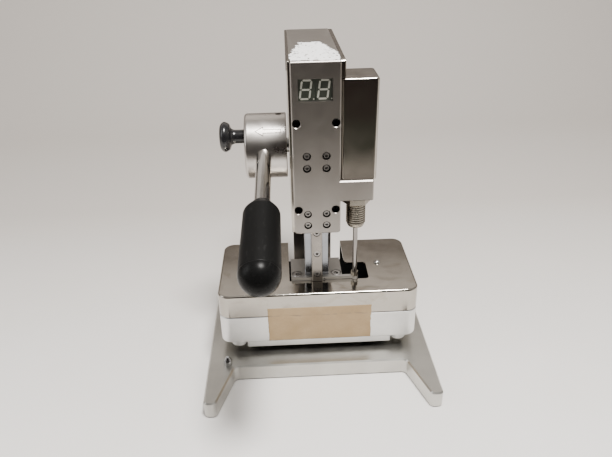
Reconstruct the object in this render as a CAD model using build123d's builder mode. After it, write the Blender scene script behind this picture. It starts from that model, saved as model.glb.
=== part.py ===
"""Bench lever press with a rack-driven platen.

Origin: middle of the underside, below the ram. X to the right, Y to the back, Z up. Millimetres.
"""
import os
from math import cos, pi, radians, sin, sqrt, tan

from build123d import *

# base
BASE_HALF_W = 97.5
BASE_BACK_Y = 130.0
BASE_FRONT_Y = -24.6
LEG_TIP_Y = -67.5
LEG_TIP_INNER_X = 87.6
LEG_ROOT_X = 74.4
MAT_T = 1.0
MAT_INSET = 0.6
BASE_TOP = 15.0
CORNER_R = 5.0
TIP_R = 4.0
BASE_CHAMFER = 1.2
TRAY_PIN_R = 3.5
TRAY_PIN_SEAT_R = 2.5
TRAY_PIN_SEAT = 7.0
TRAY_PIN_STRAIGHT = 4.5
TRAY_PIN_TOP = 23.0
TRAY_PINS = [(-80.4, -20.7), (80.4, 106.0)]
BASE_SCREWS = [(-10.0, 104.5), (10.0, 104.5), (-10.0, 120.0), (10.0, 120.0)]

# frame body
HEAD_HALF_W = 18.5
HEAD_BOTTOM = 129.6
HEAD_TOP = 268.1
HEAD_BACK_Y = 127.5
COLUMN_FRONT_Y = 97.0
CAVITY_HALF_W = 11.0
CAVITY_BACK_Y = 66.0
CAVITY_TOP = 261.0
BAY_X1 = 6.0
BAY_Y0 = 70.0
BAY_Y1 = 93.0
BAY_Z0 = 150.0
BAY_Z1 = 256.0

# front plate and its arm
PLATE_T = 8.6
PLATE_RIGHT_X = 18.6
ARM_RIGHT_X = 44.7
ARM_BOTTOM = 157.45
ARM_TOP = 175.1
ARM_BACK_Y = 28.5
PLATE_EDGE = 0.9
PLATE_TOP_R = 2.0
PLATE_CORNER_R = 2.5
DEEP_HOLES = [(-14.85, 222.4), (14.85, 222.4), (-14.85, 150.9), (14.85, 150.9)]
DEEP_HOLE_R = 3.2
DEEP_HOLE_SEAT = 6.4
DEEP_HOLE_RIM = 0.5
CARRIAGE_BORE_R = 3.2
CARRIAGE_BORE_SEAT = 3.6
CARRIAGE_HEAD_R = 2.35
CARRIAGE_HEAD_T = 2.5
WINDOW_X0 = -13.0
WINDOW_X1 = 12.4
WINDOW_Z0 = 238.8
WINDOW_Z1 = 255.35
MODULE_FACE_Y = 2.4
MODULE_BACK_Y = 7.0
DIGIT_PITCH = 13.2
DIGIT_H = 14.9
DIGIT_HALF_W = 3.5
SEGMENT_W = 1.35
SEGMENT_GAP = 0.7
POINT_R = 0.55
DIGIT_Z = 247.1
DIGIT_SLANT = 0.14

# linear guide
RAIL_FRONT_Y = 12.1
RAIL_BACK_Y = 18.6
RAIL_HALF_W = 4.5
RAIL_BOTTOM = 75.6
RAIL_TOP = 208.1
RAIL_FIRST_SCREW = 83.1
RAIL_PITCH = 20.0
RAIL_SCREWS = 7
CARRIAGE_Z = [191.4, 142.2]
CARRIAGE_HALF_W = 10.0
CARRIAGE_BACK_Y = 16.6
CARRIAGE_BLOCK_HALF = 9.45
CARRIAGE_HALF = 14.45
CARRIAGE_GAP = 0.3
CARRIAGE_SCREW_X = 7.5
CARRIAGE_SCREW_DZ = 5.0

# ram
RAM_HALF_W = 10.25
RAM_BACK_Y = 30.6
RAM_BOTTOM = 56.0
RAM_TOP = 208.1
RACK_HALF_W = 8.0
RACK_FRONT_Y = 24.6
RACK_PAD_BACK_Y = 29.4
RACK_BOTTOM = 140.0
RACK_TOOTH_BOTTOM = 149.0
RACK_TOP = 206.0

# gearing
MODULE = 1.0
PINION_TEETH = 32
PITCH_R = MODULE * PINION_TEETH / 2
PRESSURE_ANGLE = radians(20.0)
BACKLASH = 0.15
SHAFT_Y = 47.0
SHAFT_Z = 189.4
PITCH_LINE_Y = SHAFT_Y - PITCH_R
PINION_HALF_W = 7.0
SHAFT_R = 6.0
SHAFT_END_R = 4.5
BEARING_R = 10.5
BEARING_W = 5.0
BEARING_GAP = 0.05

# foot
FOOT_X0 = -22.6
FOOT_X1 = 22.0
FOOT_Y0 = 14.4
FOOT_Y1 = 46.4
FOOT_BOTTOM = 53.3
FOOT_TOP = 78.3
FOOT_SCREWS = [(-17.0, 21.0), (17.0, 21.0)]
FOOT_ARM_BOTTOM = 75.5
FOOT_ARM_LOBE_R = 3.0
FOOT_ARM_BACK_Y = 17.4
FOOT_NOTCH_HALF_W = 4.6
FOOT_SET_SCREW = (6.2, 76.3)
FOOT_SET_SCREW_R = 0.9

# damper
DAMPER_X = 32.8
DAMPER_Y = 16.0
DAMPER_R = 8.05
DAMPER_HOLE_GAP = 0.05
DAMPER_NOSE_R = 5.6
DAMPER_NOSE = 3.0
DAMPER_BORE_R = 5.5
DAMPER_BOTTOM = 128.0
DAMPER_TOP = 250.0
DAMPER_GLAND = 9.0
THREAD_PITCH = 2.0
THREAD_DEPTH = 0.55
NUT_FLATS = 21.0
TOP_NUT_FLATS = 20.0
NUT_T = 7.4
ROD_R = 2.0
ROD_BOTTOM = 75.5
ROD_NUT_FLATS = 5.8
ROD_NUT_T = 4.0
PISTON_Z0 = 204.0
PISTON_Z1 = 211.0
PISTON_GAP = 0.05

# damper cover and side panels
BOX_X0 = 18.8
BOX_X1 = 46.9
BOX_Y0 = 2.0
BOX_Y1 = 33.5
BOX_Z0 = 175.3
BOX_Z1 = 254.5
BOX_T = 1.2
BOX_R = 3.0
BOX_GAP = 0.2
PANEL_T = 2.0
PANEL_FRONT_Y = 2.5
RIGHT_PANEL_X0 = 18.6
RIGHT_PANEL_X1 = 22.0
RIGHT_PANEL_FRONT_Y = 2.0
RIGHT_PANEL_R = 3.0
PANEL_SCREW_R = 2.8
PANEL_SCREW_SINK = 1.3
LEFT_PANEL_SCREWS = [(13.0, 140.0), (13.0, 260.0), (119.0, 140.0), (119.0, 260.0)]
RIGHT_PANEL_SCREWS = [(64.0, 182.0), (44.0, 260.0), (119.0, 182.0), (119.0, 260.0)]

# platen
PLATEN_HALF_W = 86.3
PLATEN_Y0 = -6.4
PLATEN_Y1 = 84.5
PLATEN_R = 10.0
COVER_BOTTOM = 53.3
COVER_TOP = 75.3
COVER_T = 1.5
COVER_EDGE_R = 2.0
COVER_RIM = 0.4
SLOT_X0 = -24.3
SLOT_X1 = 26.4
SLOT_Y0 = 14.0
POCKET_X1 = 45.6
POCKET_Y1 = 41.5
STUDS = [(-56.5, 39.7), (56.5, 39.7)]
STUD_R = 3.0
STUD_RISE = 2.4
POST_R = 4.5
BODY_BOTTOM = 27.0
BODY_TOP_EDGE = 1.0
BODY_BOTTOM_EDGE = 0.3
PRESS_HALF_W = 63.5
PRESS_BOTTOM = 21.1
PAD_HALF_W = 60.0
PAD_Y0 = -2.0
PAD_Y1 = 80.0
PAD_BOTTOM = 20.6
PAD_TOP = 23.6
BOSS_X = 70.8
BOSS_YS = [2.2, 75.9]
BOSS_R = 7.2
BOSS_BOTTOM = 20.8
LOAD_CELL_R = 12.0
LOAD_CELL_Y = 32.0
LOAD_CELL_BOTTOM = 45.3
TAPE_X0 = -44.3
TAPE_X1 = 45.5
TAPE_Z0 = 27.4
TAPE_Z1 = 61.6
TAPE_T = 0.15

# lever
HUB_X0 = -56.1
HUB_X1 = -22.2
HUB_R = 26.75
HUB_EDGE_R = 2.5
HUB_RECESS_X0 = -33.0
HUB_ARROW_ANGLE = 44.5
DISC_R = 19.0
DISC_X0 = -32.9
DISC_X1 = -22.6
DISC_GAP = 0.05
SHAFT_STEP_X = -27.5
HUB_SCREW_X = -28.1
HUB_SCREW_R = 2.5
HUB_SCREW_TOP = 25.6
GROOVE_HALF_W = 1.6
GROOVE_R = 16.6
LEVER_X = -40.2
LEVER_Z = 197.0
LEVER_DROP = radians(16.1)
LEVER_SLOPE = -0.0221
LEVER_R = 6.0
LEVER_S0 = 10.0
LEVER_S1 = 140.0
GRIP_S0 = 84.0
GRIP_S1 = 94.2
GRIP_S2 = 151.4
GRIP_R0 = 7.0
GRIP_R1 = 13.5
GRIP_SHOULDER_R = 6.0
GRIP_R2 = 14.5

# release knob
KNOB_OFFSET = 8.6
KNOB_HEAD_X0 = -76.8
KNOB_HEAD_X1 = -67.8
KNOB_HEAD_R = 12.4
KNOB_NECK_R = 5.65
KNOB_NECK_X1 = -56.5
BUSH_R = 3.6
BUSH_X0 = -65.0
BUSH_X1 = -47.0
PIN_R = 2.0
PIN_GAP = 0.05
PIN_X1 = -29.5
INDEX_HOLES = 8


def level(z):
    return Plane.XY.offset(z)


def front(y):
    return Plane.XZ.offset(-y)


def side(x):
    return Plane.YZ.offset(x)


def outline_base(inset):
    w = BASE_HALF_W - inset
    root = LEG_ROOT_X + inset
    inner = LEG_TIP_INNER_X + inset
    tip = LEG_TIP_Y + inset
    edge = BASE_FRONT_Y + inset
    back = BASE_BACK_Y - inset
    right = [(root, edge), (inner, tip), (w, tip), (w, back)]
    left = [(-x, y) for x, y in reversed(right)]
    return right + left


def base_sketch(z, inset):
    with BuildSketch(level(z)) as base_outline:
        with BuildLine():
            Polyline(*outline_base(inset), close=True)
        make_face()
        fillet(base_outline.vertices().filter_by_position(Axis.Y, -70, -60), TIP_R)
        fillet(base_outline.vertices().filter_by_position(Axis.Y, -26, -22), CORNER_R)
        fillet(base_outline.vertices().filter_by_position(Axis.Y, 125, 131), CORNER_R)
    return base_outline.sketch


def make_mat():
    with BuildPart() as non_slip_mat:
        add(base_sketch(0, MAT_INSET))
        extrude(amount=MAT_T)
    return non_slip_mat


def make_base_plate():
    with BuildPart() as base_plate:
        add(base_sketch(MAT_T, 0))
        extrude(amount=BASE_TOP - MAT_T)
        chamfer(base_plate.faces().sort_by(Axis.Z)[-1].edges(), BASE_CHAMFER)
        with BuildSketch(level(MAT_T)):
            with Locations(*BASE_SCREWS):
                Circle(5.5)
        extrude(amount=6.5, mode=Mode.SUBTRACT)
        with BuildSketch(level(MAT_T)):
            with Locations(*BASE_SCREWS):
                Circle(3.0)
        extrude(amount=BASE_TOP, mode=Mode.SUBTRACT)
        with BuildSketch(level(TRAY_PIN_SEAT)):
            with Locations(*TRAY_PINS):
                Circle(TRAY_PIN_SEAT_R)
        extrude(amount=BASE_TOP, mode=Mode.SUBTRACT)
    return base_plate


def make_tray_pins():
    shoulder = BASE_TOP + TRAY_PIN_STRAIGHT
    with BuildPart() as tray_pins:
        with BuildSketch(level(TRAY_PIN_SEAT)):
            with Locations(*TRAY_PINS):
                Circle(TRAY_PIN_SEAT_R)
        extrude(amount=BASE_TOP - TRAY_PIN_SEAT)
        with BuildSketch(level(BASE_TOP)):
            with Locations(*TRAY_PINS):
                Circle(TRAY_PIN_R)
        extrude(amount=TRAY_PIN_STRAIGHT)
        with BuildSketch(level(shoulder)):
            with Locations(*TRAY_PINS):
                Circle(TRAY_PIN_R)
        extrude(amount=TRAY_PIN_TOP - shoulder, taper=32)
    return tray_pins


def make_base_screws():
    with BuildPart() as base_screws:
        with BuildSketch(level(MAT_T + 0.5)):
            with Locations(*BASE_SCREWS):
                Circle(5.0)
        extrude(amount=6.0)
        with BuildSketch(level(MAT_T + 6.5)):
            with Locations(*BASE_SCREWS):
                Circle(3.0)
        extrude(amount=22.0)
        with BuildSketch(level(MAT_T + 0.5)):
            with Locations(*BASE_SCREWS):
                RegularPolygon(2.5, 6, major_radius=False)
        extrude(amount=3.0, mode=Mode.SUBTRACT)
    return base_screws


def make_frame_body():
    with BuildPart() as frame_body:
        with BuildSketch(side(-HEAD_HALF_W)):
            with BuildLine():
                Polyline(
                    (PLATE_T, HEAD_BOTTOM),
                    (COLUMN_FRONT_Y, HEAD_BOTTOM),
                    (COLUMN_FRONT_Y, BASE_TOP),
                    (HEAD_BACK_Y, BASE_TOP),
                    (HEAD_BACK_Y, HEAD_TOP),
                    (PLATE_T, HEAD_TOP),
                    close=True,
                )
            make_face()
        extrude(amount=2 * HEAD_HALF_W)
        throat_corner = frame_body.edges().filter_by(Axis.X)
        throat_corner = throat_corner.filter_by_position(Axis.Y, COLUMN_FRONT_Y - 1, COLUMN_FRONT_Y + 1)
        throat_corner = throat_corner.filter_by_position(Axis.Z, HEAD_BOTTOM - 1, HEAD_BOTTOM + 1)
        fillet(throat_corner, 6.0)
        back_edges = frame_body.edges().filter_by(Axis.Z)
        chamfer(back_edges.filter_by_position(Axis.Y, HEAD_BACK_Y - 1, HEAD_BACK_Y + 1), 0.8)
        with BuildSketch(level(HEAD_BOTTOM)):
            with Locations((0, (PLATE_T + CAVITY_BACK_Y) / 2)):
                Rectangle(2 * CAVITY_HALF_W, CAVITY_BACK_Y - PLATE_T)
        extrude(amount=CAVITY_TOP - HEAD_BOTTOM, mode=Mode.SUBTRACT)
        with BuildSketch(side(-HEAD_HALF_W)):
            with Locations(((BAY_Y0 + BAY_Y1) / 2, (BAY_Z0 + BAY_Z1) / 2)):
                Rectangle(BAY_Y1 - BAY_Y0, BAY_Z1 - BAY_Z0)
        extrude(amount=HEAD_HALF_W + BAY_X1, mode=Mode.SUBTRACT)
        with BuildSketch(side(-HEAD_HALF_W)):
            with Locations((SHAFT_Y, SHAFT_Z)):
                Circle(BEARING_R)
        extrude(amount=BEARING_W, mode=Mode.SUBTRACT)
        with BuildSketch(side(HEAD_HALF_W - BEARING_W)):
            with Locations((SHAFT_Y, SHAFT_Z)):
                Circle(BEARING_R)
        extrude(amount=BEARING_W, mode=Mode.SUBTRACT)
        with BuildSketch(side(-HEAD_HALF_W)):
            with Locations((SHAFT_Y, SHAFT_Z)):
                Circle(BEARING_R - 2.0)
        extrude(amount=2 * HEAD_HALF_W, mode=Mode.SUBTRACT)
        with BuildSketch(side(-HEAD_HALF_W)):
            with Locations(*LEFT_PANEL_SCREWS):
                Circle(1.5)
        extrude(amount=6.0, mode=Mode.SUBTRACT)
        with BuildSketch(side(HEAD_HALF_W - 6.0)):
            with Locations(*RIGHT_PANEL_SCREWS):
                Circle(1.5)
        extrude(amount=6.0, mode=Mode.SUBTRACT)
        with BuildSketch(front(PLATE_T)):
            with Locations(*DEEP_HOLES):
                Circle(1.5)
        extrude(amount=-8.0, mode=Mode.SUBTRACT)
        with BuildSketch(level(BASE_TOP)):
            with Locations(*BASE_SCREWS):
                Circle(3.0)
        extrude(amount=16.0, mode=Mode.SUBTRACT)
    return frame_body


def make_front_plate():
    with BuildPart() as front_plate:
        with BuildSketch(front(0)) as plate_outline:
            with BuildLine():
                Polyline(
                    (-HEAD_HALF_W, HEAD_BOTTOM),
                    (PLATE_RIGHT_X, HEAD_BOTTOM),
                    (PLATE_RIGHT_X, ARM_BOTTOM),
                    (ARM_RIGHT_X, ARM_BOTTOM),
                    (ARM_RIGHT_X, ARM_TOP),
                    (PLATE_RIGHT_X, ARM_TOP),
                    (PLATE_RIGHT_X, HEAD_TOP),
                    (-HEAD_HALF_W, HEAD_TOP),
                    close=True,
                )
            make_face()
            corners = plate_outline.vertices()
            fillet(corners.filter_by_position(Axis.Y, HEAD_BOTTOM - 1, HEAD_BOTTOM + 1), PLATE_CORNER_R)
            fillet(plate_outline.vertices().filter_by_position(Axis.X, ARM_RIGHT_X - 1, ARM_RIGHT_X + 1), 1.0)
        extrude(amount=-PLATE_T)
        front_edges = front_plate.faces().sort_by(Axis.Y)[0].edges()
        top_edge = front_edges.filter_by(Axis.X).sort_by(Axis.Z)[-1]
        fillet(top_edge, PLATE_TOP_R)
        front_edges = front_plate.faces().sort_by(Axis.Y)[0].edges()
        top_edge = front_edges.filter_by(Axis.X).sort_by(Axis.Z)[-1]
        chamfer(front_edges - [top_edge], PLATE_EDGE)
        with BuildSketch(front(PLATE_T)):
            with Locations(((PLATE_RIGHT_X + ARM_RIGHT_X) / 2, (ARM_BOTTOM + ARM_TOP) / 2)):
                Rectangle(ARM_RIGHT_X - PLATE_RIGHT_X, ARM_TOP - ARM_BOTTOM)
        extrude(amount=-(ARM_BACK_Y - PLATE_T))
        with BuildSketch(level(ARM_BOTTOM)):
            with Locations((DAMPER_X, DAMPER_Y)):
                Circle(DAMPER_R + DAMPER_HOLE_GAP)
        extrude(amount=ARM_TOP - ARM_BOTTOM, mode=Mode.SUBTRACT)
        with BuildSketch(front(0)):
            with Locations(((WINDOW_X0 + WINDOW_X1) / 2, (WINDOW_Z0 + WINDOW_Z1) / 2)):
                Rectangle(WINDOW_X1 - WINDOW_X0, WINDOW_Z1 - WINDOW_Z0)
        extrude(amount=-PLATE_T, mode=Mode.SUBTRACT)
        with BuildSketch(front(PLATE_T)):
            with Locations((0, (WINDOW_Z0 + WINDOW_Z1) / 2)):
                Rectangle(29.0, 23.0)
        extrude(amount=PLATE_T - MODULE_FACE_Y, mode=Mode.SUBTRACT)
        with BuildSketch(front(0)):
            with Locations(*DEEP_HOLES):
                Circle(DEEP_HOLE_R)
        extrude(amount=-DEEP_HOLE_SEAT, mode=Mode.SUBTRACT)
        with BuildSketch(front(0)):
            with Locations(*DEEP_HOLES):
                Circle(DEEP_HOLE_R + DEEP_HOLE_RIM)
        extrude(amount=-DEEP_HOLE_RIM, taper=45, mode=Mode.SUBTRACT)
        with BuildSketch(front(0)):
            with Locations(*DEEP_HOLES):
                Circle(1.5)
        extrude(amount=-PLATE_T, mode=Mode.SUBTRACT)
        with BuildSketch(front(0)):
            with Locations(*carriage_screw_points()):
                Circle(CARRIAGE_BORE_R)
        extrude(amount=-CARRIAGE_BORE_SEAT, mode=Mode.SUBTRACT)
        with BuildSketch(front(0)):
            with Locations(*carriage_screw_points()):
                Circle(1.5)
        extrude(amount=-PLATE_T, mode=Mode.SUBTRACT)
    return front_plate


def carriage_screw_points():
    points = []
    for z in CARRIAGE_Z:
        for x in (-CARRIAGE_SCREW_X, CARRIAGE_SCREW_X):
            for dz in (-CARRIAGE_SCREW_DZ, CARRIAGE_SCREW_DZ):
                points.append((x, z + dz))
    return points


def make_plate_screws():
    with BuildPart() as plate_screws:
        with BuildSketch(front(DEEP_HOLE_SEAT)):
            with Locations(*DEEP_HOLES):
                Circle(2.75)
        extrude(amount=3.0)
        with BuildSketch(front(DEEP_HOLE_SEAT)):
            with Locations(*DEEP_HOLES):
                Circle(1.5)
        extrude(amount=-9.5)
        with BuildSketch(front(DEEP_HOLE_SEAT - 3.0)):
            with Locations(*DEEP_HOLES):
                RegularPolygon(1.25, 6, major_radius=False)
        extrude(amount=-1.6, mode=Mode.SUBTRACT)
    return plate_screws


def make_carriage_screws():
    with BuildPart() as carriage_screws:
        with BuildSketch(front(CARRIAGE_BORE_SEAT)):
            with Locations(*carriage_screw_points()):
                Circle(CARRIAGE_HEAD_R)
        extrude(amount=CARRIAGE_HEAD_T)
        rims = carriage_screws.faces().filter_by(Axis.Y).sort_by(Axis.Y)[:8]
        chamfer(rims.edges(), 0.3)
        with BuildSketch(front(CARRIAGE_BORE_SEAT)):
            with Locations(*carriage_screw_points()):
                Circle(1.5)
        extrude(amount=-7.6)
        with BuildSketch(front(CARRIAGE_BORE_SEAT - CARRIAGE_HEAD_T)):
            with Locations(*carriage_screw_points()):
                RegularPolygon(1.25, 6, major_radius=False)
        extrude(amount=-1.7, mode=Mode.SUBTRACT)
    return carriage_screws


def carriage_profile(z0):
    with BuildSketch(level(z0)) as profile:
        with Locations((0, (PLATE_T + CARRIAGE_BACK_Y) / 2)):
            Rectangle(2 * CARRIAGE_HALF_W, CARRIAGE_BACK_Y - PLATE_T)
        with Locations((0, (RAIL_FRONT_Y - CARRIAGE_GAP + CARRIAGE_BACK_Y) / 2)):
            Rectangle(
                2 * (RAIL_HALF_W + CARRIAGE_GAP),
                CARRIAGE_BACK_Y - RAIL_FRONT_Y + CARRIAGE_GAP,
                mode=Mode.SUBTRACT,
            )
    return profile.sketch


def make_carriage_blocks():
    with BuildPart() as carriage_blocks:
        for z in CARRIAGE_Z:
            add(carriage_profile(z - CARRIAGE_BLOCK_HALF))
        extrude(amount=2 * CARRIAGE_BLOCK_HALF)
        with BuildSketch(front(PLATE_T)):
            with Locations(*carriage_screw_points()):
                Circle(1.5)
        extrude(amount=-(RAIL_FRONT_Y - CARRIAGE_GAP - PLATE_T), mode=Mode.SUBTRACT)
    return carriage_blocks


def make_carriage_caps():
    cap_t = CARRIAGE_HALF - CARRIAGE_BLOCK_HALF
    with BuildPart() as carriage_caps:
        for z in CARRIAGE_Z:
            add(carriage_profile(z - CARRIAGE_HALF))
            add(carriage_profile(z + CARRIAGE_BLOCK_HALF))
        extrude(amount=cap_t)
    return carriage_caps


def segment_sketches(centre_x):
    h = DIGIT_H / 2 - SEGMENT_W / 2
    w = DIGIT_HALF_W
    t = SEGMENT_W
    bars = []
    for level_z in (-h, 0.0, h):
        shift = DIGIT_SLANT * level_z
        bars.append(hex_bar(centre_x + shift, DIGIT_Z + level_z, 2 * w - SEGMENT_GAP, t, True))
    for side_x in (-w, w):
        for level_z in (-h / 2, h / 2):
            shift = DIGIT_SLANT * level_z
            bars.append(hex_bar(centre_x + side_x + shift, DIGIT_Z + level_z, h - SEGMENT_GAP, t, False))
    return bars


def hex_bar(cx, cz, length, width, flat):
    a = length / 2
    b = width / 2
    outline = [(-a, 0), (-a + b, b), (a - b, b), (a, 0), (a - b, -b), (-a + b, -b)]
    if flat:
        return [(cx + p + DIGIT_SLANT * q, cz + q) for p, q in outline]
    return [(cx + q + DIGIT_SLANT * p, cz + p) for p, q in outline]


def digit_centres():
    middle = (WINDOW_X0 + WINDOW_X1) / 2
    return [middle - DIGIT_PITCH / 2 - 0.4, middle + DIGIT_PITCH / 2 - 0.4]


def make_display_segments():
    with BuildPart() as display_segments:
        with BuildSketch(front(MODULE_FACE_Y)):
            for cx in digit_centres():
                for outline in segment_sketches(cx):
                    with BuildLine():
                        Polyline(*outline, close=True)
                    make_face()
                with Locations((cx + 5.8, DIGIT_Z - DIGIT_H / 2 + POINT_R)):
                    Circle(POINT_R)
        extrude(amount=-0.4)
    return display_segments


def make_display_modules():
    middle = (WINDOW_X0 + WINDOW_X1) / 2
    with BuildPart() as display_modules:
        with BuildSketch(front(MODULE_FACE_Y)):
            with Locations((middle - DIGIT_PITCH / 2, DIGIT_Z), (middle + DIGIT_PITCH / 2, DIGIT_Z)):
                Rectangle(DIGIT_PITCH - 0.3, 19.0)
        extrude(amount=-(MODULE_BACK_Y - MODULE_FACE_Y))
        add(make_display_segments().part, mode=Mode.SUBTRACT)
    return display_modules


def make_display_board():
    with BuildPart() as display_board:
        with BuildSketch(front(MODULE_BACK_Y)):
            with Locations((0, (WINDOW_Z0 + WINDOW_Z1) / 2)):
                Rectangle(28.6, 22.6)
        extrude(amount=-(PLATE_T - MODULE_BACK_Y))
    return display_board


def make_left_panel():
    with BuildPart() as left_panel:
        with BuildSketch(side(-HEAD_HALF_W)) as panel_face:
            with Locations(((PANEL_FRONT_Y + HEAD_BACK_Y) / 2, (HEAD_BOTTOM + 0.4 + HEAD_TOP) / 2)):
                Rectangle(HEAD_BACK_Y - PANEL_FRONT_Y, HEAD_TOP - HEAD_BOTTOM - 0.4)
            fillet(panel_face.vertices(), 1.5)
        extrude(amount=-PANEL_T)
        chamfer(left_panel.faces().sort_by(Axis.X)[0].edges(), 0.4)
        with BuildSketch(side(-HEAD_HALF_W - PANEL_T)):
            with Locations(*LEFT_PANEL_SCREWS):
                Circle(PANEL_SCREW_R)
        extrude(amount=PANEL_SCREW_SINK, taper=45, mode=Mode.SUBTRACT)
        with BuildSketch(side(-HEAD_HALF_W)):
            with Locations((SHAFT_Y, SHAFT_Z)):
                Circle(SHAFT_R + 1.0)
        extrude(amount=-PANEL_T, mode=Mode.SUBTRACT)
        with BuildSketch(side(-HEAD_HALF_W)):
            with Locations(*LEFT_PANEL_SCREWS):
                Circle(1.5)
        extrude(amount=-PANEL_T, mode=Mode.SUBTRACT)
    return left_panel


def make_right_panel():
    back_of_box = BOX_Y1 + BOX_GAP
    top_of_box = BOX_Z1 + BOX_GAP
    with BuildPart() as right_panel:
        with BuildSketch(side(RIGHT_PANEL_X0)) as panel_face:
            with BuildLine():
                Polyline(
                    (back_of_box, BOX_Z0),
                    (HEAD_BACK_Y, BOX_Z0),
                    (HEAD_BACK_Y, HEAD_TOP),
                    (RIGHT_PANEL_FRONT_Y, HEAD_TOP),
                    (RIGHT_PANEL_FRONT_Y, top_of_box),
                    (back_of_box, top_of_box),
                    close=True,
                )
            make_face()
            corners = panel_face.vertices()
            fillet(corners.filter_by_position(Axis.Y, HEAD_TOP - 1, HEAD_TOP + 1), RIGHT_PANEL_R)
        extrude(amount=RIGHT_PANEL_X1 - RIGHT_PANEL_X0)
        chamfer(right_panel.faces().sort_by(Axis.X)[-1].edges(), 0.5)
        with BuildSketch(side(RIGHT_PANEL_X1)):
            with Locations(*RIGHT_PANEL_SCREWS):
                Circle(PANEL_SCREW_R)
        extrude(amount=-PANEL_SCREW_SINK, taper=45, mode=Mode.SUBTRACT)
        with BuildSketch(side(RIGHT_PANEL_X0)):
            with Locations(*RIGHT_PANEL_SCREWS):
                Circle(1.5)
        extrude(amount=RIGHT_PANEL_X1 - RIGHT_PANEL_X0, mode=Mode.SUBTRACT)
    return right_panel


def make_panel_screws():
    left_face = -HEAD_HALF_W - PANEL_T
    with BuildPart() as panel_screws:
        with BuildSketch(side(left_face)):
            with Locations(*LEFT_PANEL_SCREWS):
                Circle(PANEL_SCREW_R)
        extrude(amount=PANEL_SCREW_SINK, taper=45)
        with BuildSketch(side(left_face + 1.0)):
            with Locations(*LEFT_PANEL_SCREWS):
                Circle(1.5)
        extrude(amount=PANEL_T + 4.5)
        with BuildSketch(side(left_face)):
            with Locations(*LEFT_PANEL_SCREWS):
                RegularPolygon(1.0, 6, major_radius=False)
        extrude(amount=1.1, mode=Mode.SUBTRACT)
        with BuildSketch(side(RIGHT_PANEL_X1)):
            with Locations(*RIGHT_PANEL_SCREWS):
                Circle(PANEL_SCREW_R)
        extrude(amount=-PANEL_SCREW_SINK, taper=45)
        with BuildSketch(side(RIGHT_PANEL_X1 - 1.0)):
            with Locations(*RIGHT_PANEL_SCREWS):
                Circle(1.5)
        extrude(amount=-(RIGHT_PANEL_X1 - RIGHT_PANEL_X0 + 4.5))
        with BuildSketch(side(RIGHT_PANEL_X1)):
            with Locations(*RIGHT_PANEL_SCREWS):
                RegularPolygon(1.0, 6, major_radius=False)
        extrude(amount=-1.1, mode=Mode.SUBTRACT)
    return panel_screws


def make_damper_cover():
    with BuildPart() as damper_cover:
        with BuildSketch(level(BOX_Z0)):
            with Locations(((BOX_X0 + BOX_X1) / 2, (BOX_Y0 + BOX_Y1) / 2)):
                RectangleRounded(BOX_X1 - BOX_X0, BOX_Y1 - BOX_Y0, BOX_R)
        extrude(amount=BOX_Z1 - BOX_Z0)
        fillet(damper_cover.faces().sort_by(Axis.Z)[-1].edges(), 1.6)
        with BuildSketch(level(BOX_Z0)):
            with Locations(((BOX_X0 + BOX_X1) / 2, (BOX_Y0 + BOX_Y1) / 2)):
                RectangleRounded(BOX_X1 - BOX_X0 - 2 * BOX_T, BOX_Y1 - BOX_Y0 - 2 * BOX_T, BOX_R - BOX_T)
        extrude(amount=BOX_Z1 - BOX_Z0 - BOX_T, mode=Mode.SUBTRACT)
    return damper_cover


def damper_profile():
    root_r = DAMPER_R - THREAD_DEPTH
    drop = root_r - DAMPER_NOSE_R
    z = DAMPER_BOTTOM + DAMPER_NOSE
    points = [(0, DAMPER_BOTTOM), (DAMPER_NOSE_R, DAMPER_BOTTOM)]
    points.append((DAMPER_NOSE_R + 0.5 * drop, DAMPER_BOTTOM + 0.14 * DAMPER_NOSE))
    points.append((DAMPER_NOSE_R + 0.85 * drop, DAMPER_BOTTOM + 0.5 * DAMPER_NOSE))
    points.append((root_r, z))
    while z < ARM_BOTTOM - NUT_T - THREAD_PITCH:
        points.append((DAMPER_R, z + THREAD_PITCH * 0.4))
        points.append((DAMPER_R, z + THREAD_PITCH * 0.6))
        points.append((root_r, z + THREAD_PITCH))
        z += THREAD_PITCH
    points.append((DAMPER_R, z + THREAD_PITCH * 0.4))
    points.append((DAMPER_R, DAMPER_TOP))
    points.append((0, DAMPER_TOP))
    return points


def make_damper_body():
    axis_plane = Plane(origin=(DAMPER_X, DAMPER_Y, 0), x_dir=(1, 0, 0), z_dir=(0, -1, 0))
    with BuildPart() as damper_body:
        with BuildSketch(axis_plane):
            with BuildLine():
                Polyline(*damper_profile(), close=True)
            make_face()
        revolve(axis=Axis((DAMPER_X, DAMPER_Y, 0), (0, 0, 1)))
        with BuildSketch(level(DAMPER_BOTTOM)):
            with Locations((DAMPER_X, DAMPER_Y)):
                Circle(ROD_R + PISTON_GAP)
        extrude(amount=DAMPER_GLAND, mode=Mode.SUBTRACT)
        with BuildSketch(level(DAMPER_BOTTOM + DAMPER_GLAND)):
            with Locations((DAMPER_X, DAMPER_Y)):
                Circle(DAMPER_BORE_R)
        extrude(amount=DAMPER_TOP - DAMPER_BOTTOM - DAMPER_GLAND - 4.0, mode=Mode.SUBTRACT)
    return damper_body


def make_damper_nuts():
    with BuildPart() as damper_nuts:
        for z, flats, turn in ((ARM_BOTTOM - NUT_T, NUT_FLATS, 0), (ARM_TOP, TOP_NUT_FLATS, 0)):
            with BuildSketch(level(z)):
                with Locations((DAMPER_X, DAMPER_Y)):
                    RegularPolygon(flats / 2, 6, major_radius=False, rotation=turn)
                    Circle(DAMPER_R, mode=Mode.SUBTRACT)
            extrude(amount=NUT_T)
        outer = damper_nuts.edges().filter_by(GeomType.LINE).filter_by(Axis.Z, reverse=True)
        chamfer(outer, 0.5)
    return damper_nuts


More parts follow.
